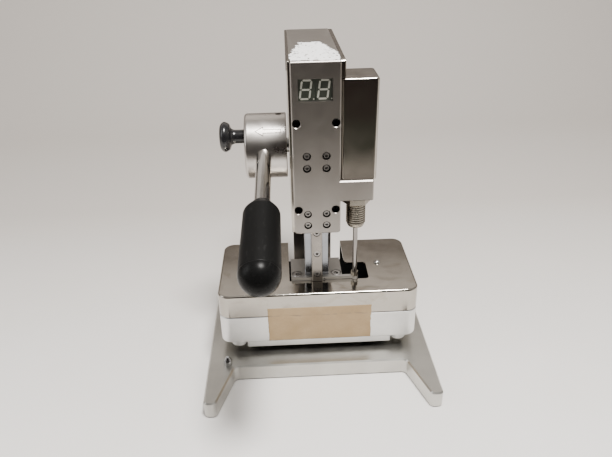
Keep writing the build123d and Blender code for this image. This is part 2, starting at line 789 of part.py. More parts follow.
def make_bearings():
    with BuildPart() as shaft_bearings:
        for x in (-HEAD_HALF_W, HEAD_HALF_W - BEARING_W):
            with BuildSketch(side(x)):
                with Locations((SHAFT_Y, SHAFT_Z)):
                    Circle(BEARING_R)
                    Circle(SHAFT_R + BEARING_GAP, mode=Mode.SUBTRACT)
            extrude(amount=BEARING_W)
    return shaft_bearings


def make_battery():
    with BuildPart() as battery:
        with BuildSketch(level(BAY_Z0 + 1.0)):
            with Locations((-6.5, (BAY_Y0 + BAY_Y1) / 2)):
                Circle(9.2)
        extrude(amount=65.0)
        fillet(battery.edges().filter_by(GeomType.CIRCLE), 1.0)
    return battery


def make_control_board():
    with BuildPart() as control_board:
        with BuildSketch(side(-2.0)):
            with Locations(((BAY_Y0 + BAY_Y1) / 2, 237.0)):
                Rectangle(21.0, 34.0)
        extrude(amount=1.6)
        with BuildSketch(side(-2.0)):
            with Locations(((BAY_Y0 + BAY_Y1) / 2, 240.0)):
                Rectangle(8.0, 8.0)
            with Locations(((BAY_Y0 + BAY_Y1) / 2, 227.0)):
                Rectangle(14.0, 5.0)
        extrude(amount=-2.5)
    return control_board


def make_ram_bar():
    with BuildPart() as ram_bar:
        with BuildSketch(level(RAM_BOTTOM)):
            with Locations((0, (RAIL_BACK_Y + RAM_BACK_Y) / 2)):
                Rectangle(2 * RAM_HALF_W, RAM_BACK_Y - RAIL_BACK_Y)
        extrude(amount=RAM_TOP - RAM_BOTTOM)
        chamfer(ram_bar.edges().filter_by(Axis.Z), 0.5)
        with BuildSketch(level(RACK_BOTTOM)):
            with Locations((0, (RACK_FRONT_Y + RAM_BACK_Y) / 2)):
                Rectangle(2 * RACK_HALF_W, RAM_BACK_Y - RACK_FRONT_Y)
        extrude(amount=RAM_TOP - RACK_BOTTOM, mode=Mode.SUBTRACT)
        with BuildSketch(front(RAIL_BACK_Y)):
            with Locations(*rail_screw_points()):
                Circle(1.5)
        extrude(amount=-(RACK_FRONT_Y - RAIL_BACK_Y), mode=Mode.SUBTRACT)
        with BuildSketch(front(RAIL_BACK_Y)):
            with Locations(FOOT_SET_SCREW):
                Circle(FOOT_SET_SCREW_R)
        extrude(amount=-4.0, mode=Mode.SUBTRACT)
    return ram_bar


def rail_screw_points():
    return [(0, RAIL_FIRST_SCREW + RAIL_PITCH * n) for n in range(RAIL_SCREWS)]


def make_guide_rail():
    mid = (RAIL_FRONT_Y + RAIL_BACK_Y) / 2
    with BuildPart() as guide_rail:
        with BuildSketch(level(RAIL_BOTTOM)):
            with BuildLine():
                Polyline(
                    (-RAIL_HALF_W, RAIL_BACK_Y),
                    (-RAIL_HALF_W, mid + 0.4),
                    (-RAIL_HALF_W + 0.9, mid - 0.6),
                    (-RAIL_HALF_W + 0.9, mid - 1.3),
                    (-RAIL_HALF_W, mid - 2.2),
                    (-RAIL_HALF_W, RAIL_FRONT_Y + 0.4),
                    (-RAIL_HALF_W + 0.4, RAIL_FRONT_Y),
                    (RAIL_HALF_W - 0.4, RAIL_FRONT_Y),
                    (RAIL_HALF_W, RAIL_FRONT_Y + 0.4),
                    (RAIL_HALF_W, mid - 2.2),
                    (RAIL_HALF_W - 0.9, mid - 1.3),
                    (RAIL_HALF_W - 0.9, mid - 0.6),
                    (RAIL_HALF_W, mid + 0.4),
                    (RAIL_HALF_W, RAIL_BACK_Y),
                    close=True,
                )
            make_face()
        extrude(amount=RAIL_TOP - RAIL_BOTTOM)
        with BuildSketch(front(RAIL_FRONT_Y)):
            with Locations(*rail_screw_points()):
                Circle(3.0)
        extrude(amount=-3.5, mode=Mode.SUBTRACT)
        with BuildSketch(front(RAIL_FRONT_Y)):
            with Locations(*rail_screw_points()):
                Circle(1.5)
        extrude(amount=-(RAIL_BACK_Y - RAIL_FRONT_Y), mode=Mode.SUBTRACT)
    return guide_rail


def make_rail_screws():
    with BuildPart() as rail_screws:
        with BuildSketch(front(RAIL_FRONT_Y + 3.5)):
            with Locations(*rail_screw_points()):
                Circle(2.6)
        extrude(amount=3.0)
        with BuildSketch(front(RAIL_FRONT_Y + 3.5)):
            with Locations(*rail_screw_points()):
                Circle(1.5)
        extrude(amount=-(RACK_FRONT_Y - RAIL_FRONT_Y - 3.7))
        with BuildSketch(front(RAIL_FRONT_Y + 0.5)):
            with Locations(*rail_screw_points()):
                RegularPolygon(1.25, 6, major_radius=False)
        extrude(amount=-1.6, mode=Mode.SUBTRACT)
    return rail_screws


def rack_outline():
    half_tooth = (pi * MODULE / 2 - BACKLASH) / 2
    root_y = PITCH_LINE_Y - 1.25 * MODULE
    tip_y = PITCH_LINE_Y + MODULE
    root_half = half_tooth + (PITCH_LINE_Y - root_y) * tan(PRESSURE_ANGLE)
    tip_half = half_tooth - (tip_y - PITCH_LINE_Y) * tan(PRESSURE_ANGLE)
    points = [(RACK_FRONT_Y, RACK_BOTTOM), (RACK_PAD_BACK_Y, RACK_BOTTOM)]
    points.append((RACK_PAD_BACK_Y, RACK_TOOTH_BOTTOM))
    points.append((root_y, RACK_TOOTH_BOTTOM))
    first = int((RACK_TOOTH_BOTTOM - SHAFT_Z) / (pi * MODULE))
    last = int((RACK_TOP - SHAFT_Z) / (pi * MODULE))
    for n in range(first + 1, last):
        centre = SHAFT_Z + n * pi * MODULE
        points.append((root_y, centre - root_half))
        points.append((tip_y, centre - tip_half))
        points.append((tip_y, centre + tip_half))
        points.append((root_y, centre + root_half))
    points.append((root_y, RACK_TOP))
    points.append((RACK_FRONT_Y, RACK_TOP))
    return points


def make_gear_rack():
    with BuildPart() as gear_rack:
        with BuildSketch(side(-RACK_HALF_W)):
            with BuildLine():
                Polyline(*rack_outline(), close=True)
            make_face()
        extrude(amount=2 * RACK_HALF_W)
        with BuildSketch(front(RACK_PAD_BACK_Y)):
            with Locations((-4.5, 144.5), (4.5, 144.5)):
                Circle(1.5)
        extrude(amount=RACK_PAD_BACK_Y - RACK_FRONT_Y, mode=Mode.SUBTRACT)
    return gear_rack


def make_rack_screws():
    with BuildPart() as rack_screws:
        with BuildSketch(front(RACK_PAD_BACK_Y)):
            with Locations((-4.5, 144.5), (4.5, 144.5)):
                Circle(2.4)
        extrude(amount=-1.1)
        with BuildSketch(front(RACK_PAD_BACK_Y)):
            with Locations((-4.5, 144.5), (4.5, 144.5)):
                Circle(1.5)
        extrude(amount=RACK_PAD_BACK_Y - RACK_FRONT_Y)
    return rack_screws


def make_ram_foot():
    with BuildPart() as ram_foot:
        with BuildSketch(level(FOOT_BOTTOM)):
            with Locations(((FOOT_X0 + FOOT_X1) / 2, (FOOT_Y0 + FOOT_Y1) / 2)):
                Rectangle(FOOT_X1 - FOOT_X0, FOOT_Y1 - FOOT_Y0)
        extrude(amount=FOOT_TOP - FOOT_BOTTOM)
        with BuildSketch(level(FOOT_ARM_BOTTOM)):
            with Locations(((FOOT_X1 + DAMPER_X) / 2, (FOOT_Y0 + FOOT_ARM_BACK_Y) / 2)):
                Rectangle(DAMPER_X - FOOT_X1, FOOT_ARM_BACK_Y - FOOT_Y0)
            with Locations((DAMPER_X, DAMPER_Y)):
                Circle(FOOT_ARM_LOBE_R)
        extrude(amount=FOOT_TOP - FOOT_ARM_BOTTOM)
        with BuildSketch(level(RAM_BOTTOM)):
            with Locations((0, (RAIL_BACK_Y + RAM_BACK_Y) / 2)):
                Rectangle(2 * RAM_HALF_W, RAM_BACK_Y - RAIL_BACK_Y)
        extrude(amount=FOOT_TOP - RAM_BOTTOM, mode=Mode.SUBTRACT)
        with BuildSketch(level(FOOT_ARM_BOTTOM)):
            with Locations((0, (FOOT_Y0 + RAIL_BACK_Y) / 2)):
                Rectangle(2 * FOOT_NOTCH_HALF_W, RAIL_BACK_Y - FOOT_Y0)
        extrude(amount=FOOT_TOP - FOOT_ARM_BOTTOM, mode=Mode.SUBTRACT)
        with BuildSketch(front(FOOT_Y0)):
            with Locations(FOOT_SET_SCREW):
                Circle(FOOT_SET_SCREW_R)
        extrude(amount=-(RAIL_BACK_Y - FOOT_Y0), mode=Mode.SUBTRACT)
        with BuildSketch(level(FOOT_BOTTOM)):
            with Locations((DAMPER_X, DAMPER_Y)):
                Circle(ROD_R)
        extrude(amount=FOOT_TOP - FOOT_BOTTOM, mode=Mode.SUBTRACT)
        with BuildSketch(level(FOOT_TOP)):
            with Locations(*FOOT_SCREWS):
                Circle(4.7)
        extrude(amount=-5.2, mode=Mode.SUBTRACT)
        with BuildSketch(level(FOOT_BOTTOM)):
            with Locations(*FOOT_SCREWS):
                Circle(2.5)
        extrude(amount=FOOT_TOP - FOOT_BOTTOM, mode=Mode.SUBTRACT)
    return ram_foot


def make_foot_screws():
    with BuildPart() as foot_screws:
        with BuildSketch(level(FOOT_TOP - 5.2)):
            with Locations(*FOOT_SCREWS):
                Circle(4.2)
        extrude(amount=5.0)
        chamfer(foot_screws.faces().filter_by(Axis.Z).sort_by(Axis.Z)[-2:].edges(), 0.5)
        with BuildSketch(level(FOOT_TOP - 5.2)):
            with Locations(*FOOT_SCREWS):
                Circle(2.5)
        extrude(amount=-30.0)
        with BuildSketch(level(FOOT_TOP - 0.2)):
            with Locations(*FOOT_SCREWS):
                RegularPolygon(2.0, 6, major_radius=False)
        extrude(amount=-2.6, mode=Mode.SUBTRACT)
    return foot_screws


def make_foot_set_screw():
    with BuildPart() as foot_set_screw:
        with BuildSketch(front(FOOT_Y0 + 0.4)):
            with Locations(FOOT_SET_SCREW):
                Circle(FOOT_SET_SCREW_R)
        extrude(amount=-(RAIL_BACK_Y + 3.6 - FOOT_Y0))
        with BuildSketch(front(FOOT_Y0 + 0.4)):
            with Locations(FOOT_SET_SCREW):
                RegularPolygon(0.45, 6, major_radius=False)
        extrude(amount=-1.0, mode=Mode.SUBTRACT)
    return foot_set_screw


def make_damper_rod():
    with BuildPart() as damper_rod:
        with BuildSketch(level(ROD_BOTTOM)):
            with Locations((DAMPER_X, DAMPER_Y)):
                Circle(ROD_R)
        extrude(amount=PISTON_Z1 - ROD_BOTTOM)
        with BuildSketch(level(PISTON_Z0)):
            with Locations((DAMPER_X, DAMPER_Y)):
                Circle(DAMPER_BORE_R - PISTON_GAP)
        extrude(amount=PISTON_Z1 - PISTON_Z0)
    return damper_rod


def make_rod_nuts():
    with BuildPart() as rod_nuts:
        with BuildSketch(level(FOOT_TOP)):
            with Locations((DAMPER_X, DAMPER_Y)):
                RegularPolygon(ROD_NUT_FLATS / 2, 6, major_radius=False, rotation=15)
                Circle(ROD_R, mode=Mode.SUBTRACT)
        extrude(amount=ROD_NUT_T)
    return rod_nuts


def platen_outline(z, inset):
    width = 2 * (PLATEN_HALF_W - inset)
    depth = PLATEN_Y1 - PLATEN_Y0 - 2 * inset
    with BuildSketch(level(z)) as outline:
        with Locations((0, (PLATEN_Y0 + PLATEN_Y1) / 2)):
            RectangleRounded(width, depth, PLATEN_R - inset)
    return outline.sketch


def make_platen_cover():
    with BuildPart() as platen_cover:
        add(platen_outline(COVER_BOTTOM, 0))
        extrude(amount=COVER_TOP - COVER_BOTTOM)
        fillet(platen_cover.faces().sort_by(Axis.Z)[-1].edges(), COVER_EDGE_R)
        chamfer(platen_cover.faces().sort_by(Axis.Z)[0].edges(), COVER_RIM)
        add(platen_outline(COVER_BOTTOM, COVER_T))
        extrude(amount=COVER_TOP - COVER_BOTTOM - COVER_T, mode=Mode.SUBTRACT)
        with BuildSketch(level(COVER_BOTTOM)) as slot:
            with BuildLine():
                Polyline(
                    (SLOT_X0, SLOT_Y0),
                    (POCKET_X1, SLOT_Y0),
                    (POCKET_X1, POCKET_Y1),
                    (SLOT_X1, POCKET_Y1),
                    (SLOT_X1, PLATEN_Y1 + 5.0),
                    (SLOT_X0, PLATEN_Y1 + 5.0),
                    close=True,
                )
            make_face()
            fillet(slot.vertices().filter_by_position(Axis.X, POCKET_X1 - 1, POCKET_X1 + 1), 3.0)
            pocket_back = slot.vertices().filter_by_position(Axis.Y, POCKET_Y1 - 1, POCKET_Y1 + 1)
            fillet(pocket_back.sort_by(Axis.X)[:1], 4.0)
        extrude(amount=COVER_TOP - COVER_BOTTOM + 1.0, mode=Mode.SUBTRACT)
        with BuildSketch(level(COVER_TOP)):
            with Locations(*STUDS):
                Circle(2.0)
        extrude(amount=-COVER_T, mode=Mode.SUBTRACT)
    return platen_cover


def make_cover_posts():
    with BuildPart() as cover_posts:
        with BuildSketch(level(COVER_BOTTOM)):
            with Locations(*STUDS):
                Circle(POST_R)
                Circle(2.0, mode=Mode.SUBTRACT)
        extrude(amount=COVER_TOP - COVER_T - COVER_BOTTOM)
    return cover_posts


def make_cover_studs():
    dome_r = (STUD_R**2 + STUD_RISE**2) / (2 * STUD_RISE)
    with BuildPart() as cover_studs:
        with Locations(*[(x, y, COVER_TOP + STUD_RISE - dome_r) for x, y in STUDS]):
            Sphere(dome_r)
        with BuildSketch(level(COVER_TOP)):
            Rectangle(4 * PLATEN_HALF_W, 4 * PLATEN_HALF_W)
        extrude(amount=-2 * dome_r, mode=Mode.SUBTRACT)
        with BuildSketch(level(COVER_TOP)):
            with Locations(*STUDS):
                Circle(2.0)
        extrude(amount=-14.0)
    return cover_studs


def make_liner_sheet():
    with BuildPart() as liner_sheet:
        add(platen_outline(COVER_BOTTOM, COVER_T + 0.5))
        extrude(amount=0.8)
        with BuildSketch(level(COVER_BOTTOM)):
            with Locations(((FOOT_X0 + FOOT_X1) / 2, (FOOT_Y0 + FOOT_Y1) / 2)):
                Rectangle(FOOT_X1 - FOOT_X0 + 1.0, FOOT_Y1 - FOOT_Y0 + 1.0)
            with Locations(*STUDS):
                Circle(POST_R + 0.3)
        extrude(amount=0.8, mode=Mode.SUBTRACT)
    return liner_sheet


def boss_points():
    return [(sign * BOSS_X, y) for sign in (-1, 1) for y in BOSS_YS]


def press_screw_points():
    return [(sign * 45.0, y) for sign in (-1, 1) for y in (14.0, 64.0)]


def make_platen_body():
    with BuildPart() as platen_body:
        add(platen_outline(BODY_BOTTOM, 0))
        extrude(amount=COVER_BOTTOM - BODY_BOTTOM)
        chamfer(platen_body.faces().sort_by(Axis.Z)[-1].edges(), BODY_TOP_EDGE)
        chamfer(platen_body.faces().sort_by(Axis.Z)[0].edges(), BODY_BOTTOM_EDGE)
        with BuildSketch(level(COVER_BOTTOM)):
            with Locations((0, LOAD_CELL_Y)):
                Circle(LOAD_CELL_R)
        extrude(amount=LOAD_CELL_BOTTOM - COVER_BOTTOM, mode=Mode.SUBTRACT)
        with BuildSketch(level(COVER_BOTTOM)):
            with Locations(*FOOT_SCREWS):
                Circle(2.5)
        extrude(amount=-12.0, mode=Mode.SUBTRACT)
        with BuildSketch(level(BODY_BOTTOM)):
            with Locations(*boss_points()):
                Circle(2.0)
            with Locations(*press_screw_points()):
                Circle(2.0)
        extrude(amount=12.0, mode=Mode.SUBTRACT)
    return platen_body


def make_load_cell():
    with BuildPart() as load_cell:
        with BuildSketch(level(LOAD_CELL_BOTTOM)):
            with Locations((0, LOAD_CELL_Y)):
                Circle(LOAD_CELL_R - 0.5)
        extrude(amount=COVER_BOTTOM - LOAD_CELL_BOTTOM - 1.0)
        with BuildSketch(level(COVER_BOTTOM - 1.0)):
            with Locations((0, LOAD_CELL_Y)):
                Circle(4.0)
        extrude(amount=1.0)
    return load_cell


def make_press_plate():
    with BuildPart() as press_plate:
        with BuildSketch(level(PRESS_BOTTOM)):
            with Locations((0, (PLATEN_Y0 + PLATEN_Y1) / 2)):
                RectangleRounded(2 * PRESS_HALF_W, PLATEN_Y1 - PLATEN_Y0, 1.5)
        extrude(amount=BODY_BOTTOM - PRESS_BOTTOM)
        chamfer(press_plate.faces().sort_by(Axis.Z)[0].edges(), 0.6)
        with BuildSketch(level(PRESS_BOTTOM)):
            with Locations((0, (PAD_Y0 + PAD_Y1) / 2)):
                Rectangle(2 * PAD_HALF_W, PAD_Y1 - PAD_Y0)
        extrude(amount=PAD_TOP - PRESS_BOTTOM, mode=Mode.SUBTRACT)
        with BuildSketch(level(PAD_TOP)):
            with Locations(*press_screw_points()):
                Circle(2.0)
        extrude(amount=BODY_BOTTOM - PAD_TOP, mode=Mode.SUBTRACT)
        with BuildSketch(level(PAD_TOP)):
            with Locations(*press_screw_points()):
                Circle(3.8)
        extrude(amount=2.2, mode=Mode.SUBTRACT)
    return press_plate


def make_press_plate_screws():
    with BuildPart() as press_plate_screws:
        with BuildSketch(level(PAD_TOP)):
            with Locations(*press_screw_points()):
                Circle(3.8)
        extrude(amount=2.2)
        with BuildSketch(level(PAD_TOP + 2.2)):
            with Locations(*press_screw_points()):
                Circle(2.0)
        extrude(amount=10.0)
        with BuildSketch(level(PAD_TOP)):
            with Locations(*press_screw_points()):
                RegularPolygon(1.25, 6, major_radius=False)
        extrude(amount=1.4, mode=Mode.SUBTRACT)
    return press_plate_screws


def make_press_pad():
    with BuildPart() as press_pad:
        with BuildSketch(level(PAD_BOTTOM)):
            with Locations((0, (PAD_Y0 + PAD_Y1) / 2)):
                Rectangle(2 * PAD_HALF_W, PAD_Y1 - PAD_Y0)
        extrude(amount=PAD_TOP - PAD_BOTTOM)
    return press_pad


def make_corner_bosses():
    with BuildPart() as corner_bosses:
        with BuildSketch(level(BOSS_BOTTOM)):
            with Locations(*boss_points()):
                Circle(BOSS_R)
        extrude(amount=BODY_BOTTOM - BOSS_BOTTOM)
        chamfer(corner_bosses.faces().filter_by(Axis.Z).sort_by(Axis.Z)[:4].edges(), 0.7)
        with BuildSketch(level(BOSS_BOTTOM)):
            with Locations(*boss_points()):
                Circle(2.0)
        extrude(amount=BODY_BOTTOM - BOSS_BOTTOM, mode=Mode.SUBTRACT)
        with BuildSketch(level(BOSS_BOTTOM)):
            with Locations(*boss_points()):
                Circle(3.8)
        extrude(amount=3.0, mode=Mode.SUBTRACT)
    return corner_bosses


def make_boss_screws():
    with BuildPart() as boss_screws:
        with BuildSketch(level(BOSS_BOTTOM + 0.4)):
            with Locations(*boss_points()):
                Circle(3.6)
        extrude(amount=2.6)
        with BuildSketch(level(BOSS_BOTTOM + 3.0)):
            with Locations(*boss_points()):
                Circle(2.0)
        extrude(amount=12.0)
        with BuildSketch(level(BOSS_BOTTOM + 0.4)):
            with Locations(*boss_points()):
                RegularPolygon(1.5, 6, major_radius=False)
        extrude(amount=1.6, mode=Mode.SUBTRACT)
    return boss_screws


def make_paper_tape():
    with BuildPart() as paper_tape:
        with BuildSketch(front(PLATEN_Y0)):
            with Locations(((TAPE_X0 + TAPE_X1) / 2, (TAPE_Z0 + TAPE_Z1) / 2)):
                Rectangle(TAPE_X1 - TAPE_X0, TAPE_Z1 - TAPE_Z0)
        extrude(amount=TAPE_T)
    return paper_tape


def pinion_outline():
    base_r = PITCH_R * cos(PRESSURE_ANGLE)
    tip_r = PITCH_R + MODULE
    root_r = PITCH_R - 1.25 * MODULE
    involute = tan(PRESSURE_ANGLE) - PRESSURE_ANGLE
    half = (pi * MODULE / 2 - BACKLASH) / (2 * PITCH_R)
    points = []
    steps = 4
    for n in range(PINION_TEETH):
        centre = pi + (n + 0.5) * 2 * pi / PINION_TEETH
        flank = []
        for k in range(steps + 1):
            r = base_r + (tip_r - base_r) * k / steps
            turn = sqrt(max(r * r / base_r / base_r - 1, 0))
            angle = turn - atan_small(turn)
            flank.append((r, half + involute - angle))
        points.append((root_r, centre - flank[0][1]))
        points += [(r, centre - a) for r, a in flank]
        points += [(r, centre + a) for r, a in reversed(flank)]
        points.append((root_r, centre + flank[0][1]))
    return [(SHAFT_Y + r * cos(a), SHAFT_Z + r * sin(a)) for r, a in points]


def atan_small(value):
    angle = value
    for n in range(8):
        angle = angle - (tan(angle) - value) * cos(angle) ** 2
    return angle


def make_pinion_gear():
    with BuildPart() as pinion_gear:
        with BuildSketch(side(-PINION_HALF_W)):
            with BuildLine():
                Polyline(*pinion_outline(), close=True)
            make_face()
            with Locations((SHAFT_Y, SHAFT_Z)):
                Circle(SHAFT_R, mode=Mode.SUBTRACT)
            with Locations((SHAFT_Y, SHAFT_Z + SHAFT_R)):
                Rectangle(3.0, 3.0, mode=Mode.SUBTRACT)
        extrude(amount=2 * PINION_HALF_W)
    return pinion_gear


def make_pinion_shaft():
    with BuildPart() as pinion_shaft:
        with BuildSketch(side(SHAFT_STEP_X)):
            with Locations((SHAFT_Y, SHAFT_Z)):
                Circle(SHAFT_R)
        extrude(amount=HEAD_HALF_W - SHAFT_STEP_X)
        with BuildSketch(side(SHAFT_STEP_X)):
            with Locations((SHAFT_Y, SHAFT_Z)):
                Circle(SHAFT_END_R)
        extrude(amount=DISC_X0 - SHAFT_STEP_X)
        with BuildSketch(side(-PINION_HALF_W)):
            with Locations((SHAFT_Y, SHAFT_Z + SHAFT_R)):
                Rectangle(3.0, 3.0)
        extrude(amount=2 * PINION_HALF_W, mode=Mode.SUBTRACT)
        with BuildSketch(side(PINION_HALF_W + 0.4)):
            with Locations((SHAFT_Y, SHAFT_Z)):
                Circle(SHAFT_R + 1.0)
                Circle(SHAFT_R - 0.6, mode=Mode.SUBTRACT)
        extrude(amount=1.0, mode=Mode.SUBTRACT)
    return pinion_shaft


def make_pinion_key():
    with BuildPart() as pinion_key:
        with BuildSketch(side(-PINION_HALF_W)):
            with Locations((SHAFT_Y, SHAFT_Z + SHAFT_R)):
                Rectangle(3.0, 3.0)
        extrude(amount=2 * PINION_HALF_W)
    return pinion_key


def make_retaining_ring():
    with BuildPart() as retaining_ring:
        with BuildSketch(side(PINION_HALF_W + 0.4)):
            with Locations((SHAFT_Y, SHAFT_Z)):
                Circle(SHAFT_R + 2.2)
                Circle(SHAFT_R - 0.6, mode=Mode.SUBTRACT)
            with Locations((SHAFT_Y, SHAFT_Z - SHAFT_R - 1.0)):
                Rectangle(4.0, 6.0, mode=Mode.SUBTRACT)
        extrude(amount=1.0)
    return retaining_ring


def arrow_outline():
    return [(-21.0, 0.0), (-14.0, 4.3), (-14.0, 1.7), (0.0, 1.7), (0.0, -1.7), (-14.0, -1.7), (-14.0, -4.3)]


def make_lever_hub():
    angle = radians(HUB_ARROW_ANGLE)
    normal = (0, -cos(angle), sin(angle))
    arrow_plane = Plane(
        origin=(-26.5, SHAFT_Y + normal[1] * (HUB_R - 2), SHAFT_Z + normal[2] * (HUB_R - 2)),
        x_dir=(1, 0, 0),
        z_dir=normal,
    )
    rod_plane = lever_plane(0)
    with BuildPart() as arrow_cut:
        with BuildSketch(arrow_plane):
            with BuildLine():
                Polyline(*arrow_outline(), close=True)
            make_face()
            with BuildLine():
                Polyline(*arrow_inner(), close=True)
            make_face(mode=Mode.SUBTRACT)
        extrude(amount=4.0)
        with BuildSketch(side(HUB_X0)):
            with Locations((SHAFT_Y, SHAFT_Z)):
                Circle(HUB_R - 0.5)
        extrude(amount=HUB_X1 - HUB_X0, mode=Mode.SUBTRACT)
    with BuildPart() as lever_hub:
        with BuildSketch(side(HUB_X0)):
            with Locations((SHAFT_Y, SHAFT_Z)):
                Circle(HUB_R)
        extrude(amount=HUB_X1 - HUB_X0)
        fillet(lever_hub.edges().sort_by(Axis.X)[0], HUB_EDGE_R)
        chamfer(lever_hub.edges().sort_by(Axis.X)[-1], 0.6)
        with BuildSketch(side(HUB_RECESS_X0)):
            with Locations((SHAFT_Y, SHAFT_Z)):
                Circle(DISC_R + DISC_GAP)
        extrude(amount=HUB_X1 - HUB_RECESS_X0, mode=Mode.SUBTRACT)
        with BuildSketch(rod_plane):
            Circle(LEVER_R)
        extrude(amount=HUB_R + 8.0, mode=Mode.SUBTRACT)
        with BuildSketch(rod_plane):
            Circle(LEVER_R)
        extrude(amount=LEVER_S0)
        with BuildSketch(side(HUB_X0)):
            with Locations((SHAFT_Y, SHAFT_Z + KNOB_OFFSET)):
                Circle(BUSH_R)
        extrude(amount=BUSH_X1 - HUB_X0, mode=Mode.SUBTRACT)
        with BuildSketch(side(BUSH_X1)):
            with Locations((SHAFT_Y, SHAFT_Z + KNOB_OFFSET)):
                Circle(PIN_R + PIN_GAP)
        extrude(amount=HUB_RECESS_X0 - BUSH_X1, mode=Mode.SUBTRACT)
        with BuildSketch(level(SHAFT_Z)):
            with Locations((HUB_SCREW_X, SHAFT_Y)):
                Circle(HUB_SCREW_R)
        extrude(amount=HUB_R + 1.0, mode=Mode.SUBTRACT)
        add(arrow_cut.part, mode=Mode.SUBTRACT)
    return lever_hub


def arrow_inner():
    upper = [(-14.5, 3.4), (-14.5, 1.2), (-0.5, 1.2)]
    lower = [(x, -y) for x, y in reversed(upper)]
    return [(-20.0, 0.0)] + upper + lower


def lever_direction():
    length = sqrt(1 + LEVER_SLOPE**2)
    return (LEVER_SLOPE / length, -cos(LEVER_DROP) / length, -sin(LEVER_DROP) / length)


def lever_plane(distance):
    direction = lever_direction()
    start = (LEVER_X, SHAFT_Y, LEVER_Z)
    origin = [p + d * distance for p, d in zip(start, direction)]
    return Plane(origin=origin, x_dir=(cos(LEVER_SLOPE), LEVER_SLOPE, 0), z_dir=direction)


def make_index_disc():
    with BuildPart() as index_disc:
        with BuildSketch(side(DISC_X0)):
            with Locations((SHAFT_Y, SHAFT_Z)):
                Circle(DISC_R)
        extrude(amount=DISC_X1 - DISC_X0)
        with BuildSketch(side(HUB_SCREW_X - GROOVE_HALF_W)):
            with Locations((SHAFT_Y, SHAFT_Z)):
                Circle(DISC_R + 1.0)
                Circle(GROOVE_R, mode=Mode.SUBTRACT)
        extrude(amount=2 * GROOVE_HALF_W, mode=Mode.SUBTRACT)
        with BuildSketch(side(DISC_X0)):
            with Locations((SHAFT_Y, SHAFT_Z)):
                Circle(SHAFT_END_R)
        extrude(amount=SHAFT_STEP_X - DISC_X0, mode=Mode.SUBTRACT)
        with BuildSketch(side(SHAFT_STEP_X)):
            with Locations((SHAFT_Y, SHAFT_Z)):
                Circle(SHAFT_R)
        extrude(amount=DISC_X1 - SHAFT_STEP_X, mode=Mode.SUBTRACT)
        with BuildSketch(side(DISC_X0)):
            with Locations((SHAFT_Y, SHAFT_Z)):
                with PolarLocations(KNOB_OFFSET, INDEX_HOLES, start_angle=90):
                    Circle(PIN_R + PIN_GAP)
        extrude(amount=PIN_X1 - DISC_X0 + 0.5, mode=Mode.SUBTRACT)
    return index_disc


def make_hub_set_screw():
    with BuildPart() as hub_set_screw:
        with BuildSketch(level(SHAFT_Z + GROOVE_R + 0.1)):
            with Locations((HUB_SCREW_X, SHAFT_Y)):
                Circle(1.4)
        extrude(amount=DISC_R + 1.0 - GROOVE_R)
        with BuildSketch(level(SHAFT_Z + DISC_R + 0.2)):
            with Locations((HUB_SCREW_X, SHAFT_Y)):
                Circle(HUB_SCREW_R)
        extrude(amount=HUB_SCREW_TOP - DISC_R - 0.2)
        with BuildSketch(level(SHAFT_Z + HUB_SCREW_TOP)):
            with Locations((HUB_SCREW_X, SHAFT_Y)):
                RegularPolygon(1.25, 6, major_radius=False)
        extrude(amount=-2.2, mode=Mode.SUBTRACT)
    return hub_set_screw


def make_lever_rod():
    with BuildPart() as lever_rod:
        with BuildSketch(lever_plane(LEVER_S0)):
            Circle(LEVER_R)
        extrude(amount=LEVER_S1 - LEVER_S0)
    return lever_rod


def make_lever_grip():
    direction = lever_direction()
    across = (0, sin(LEVER_DROP), -cos(LEVER_DROP))
    profile_plane = Plane(origin=(LEVER_X, SHAFT_Y, LEVER_Z), x_dir=direction, z_dir=across)
    with BuildPart() as lever_grip:
        with BuildSketch(profile_plane):
            with BuildLine():
                Polyline(
                    (GRIP_S0, 0),
                    (GRIP_S0, GRIP_R0),
                    (GRIP_S0 + 0.8, GRIP_R0 + 0.7),
                    (GRIP_S1, GRIP_R1),
                    (GRIP_S2, GRIP_R2),
                )
                ThreePointArc(
                    (GRIP_S2, GRIP_R2),
                    (GRIP_S2 + GRIP_R2 * sin(pi / 4), GRIP_R2 * cos(pi / 4)),
                    (GRIP_S2 + GRIP_R2, 0),
                )
                Line((GRIP_S2 + GRIP_R2, 0), (GRIP_S0, 0))
            make_face()
            shoulder = vertices().filter_by_position(Axis.X, GRIP_S1 - 0.5, GRIP_S1 + 0.5)
            fillet(shoulder, radius=GRIP_SHOULDER_R)
        revolve(axis=Axis(profile_plane.origin, direction))
        with BuildSketch(lever_plane(GRIP_S0)):
            Circle(LEVER_R)
        extrude(amount=LEVER_S1 - GRIP_S0, mode=Mode.SUBTRACT)
    return lever_grip


def make_plunger_bush():
    with BuildPart() as plunger_bush:
        with BuildSketch(side(BUSH_X0)):
            with Locations((SHAFT_Y, SHAFT_Z + KNOB_OFFSET)):
                Circle(BUSH_R)
                Circle(PIN_R + PIN_GAP, mode=Mode.SUBTRACT)
        extrude(amount=BUSH_X1 - BUSH_X0)
    return plunger_bush


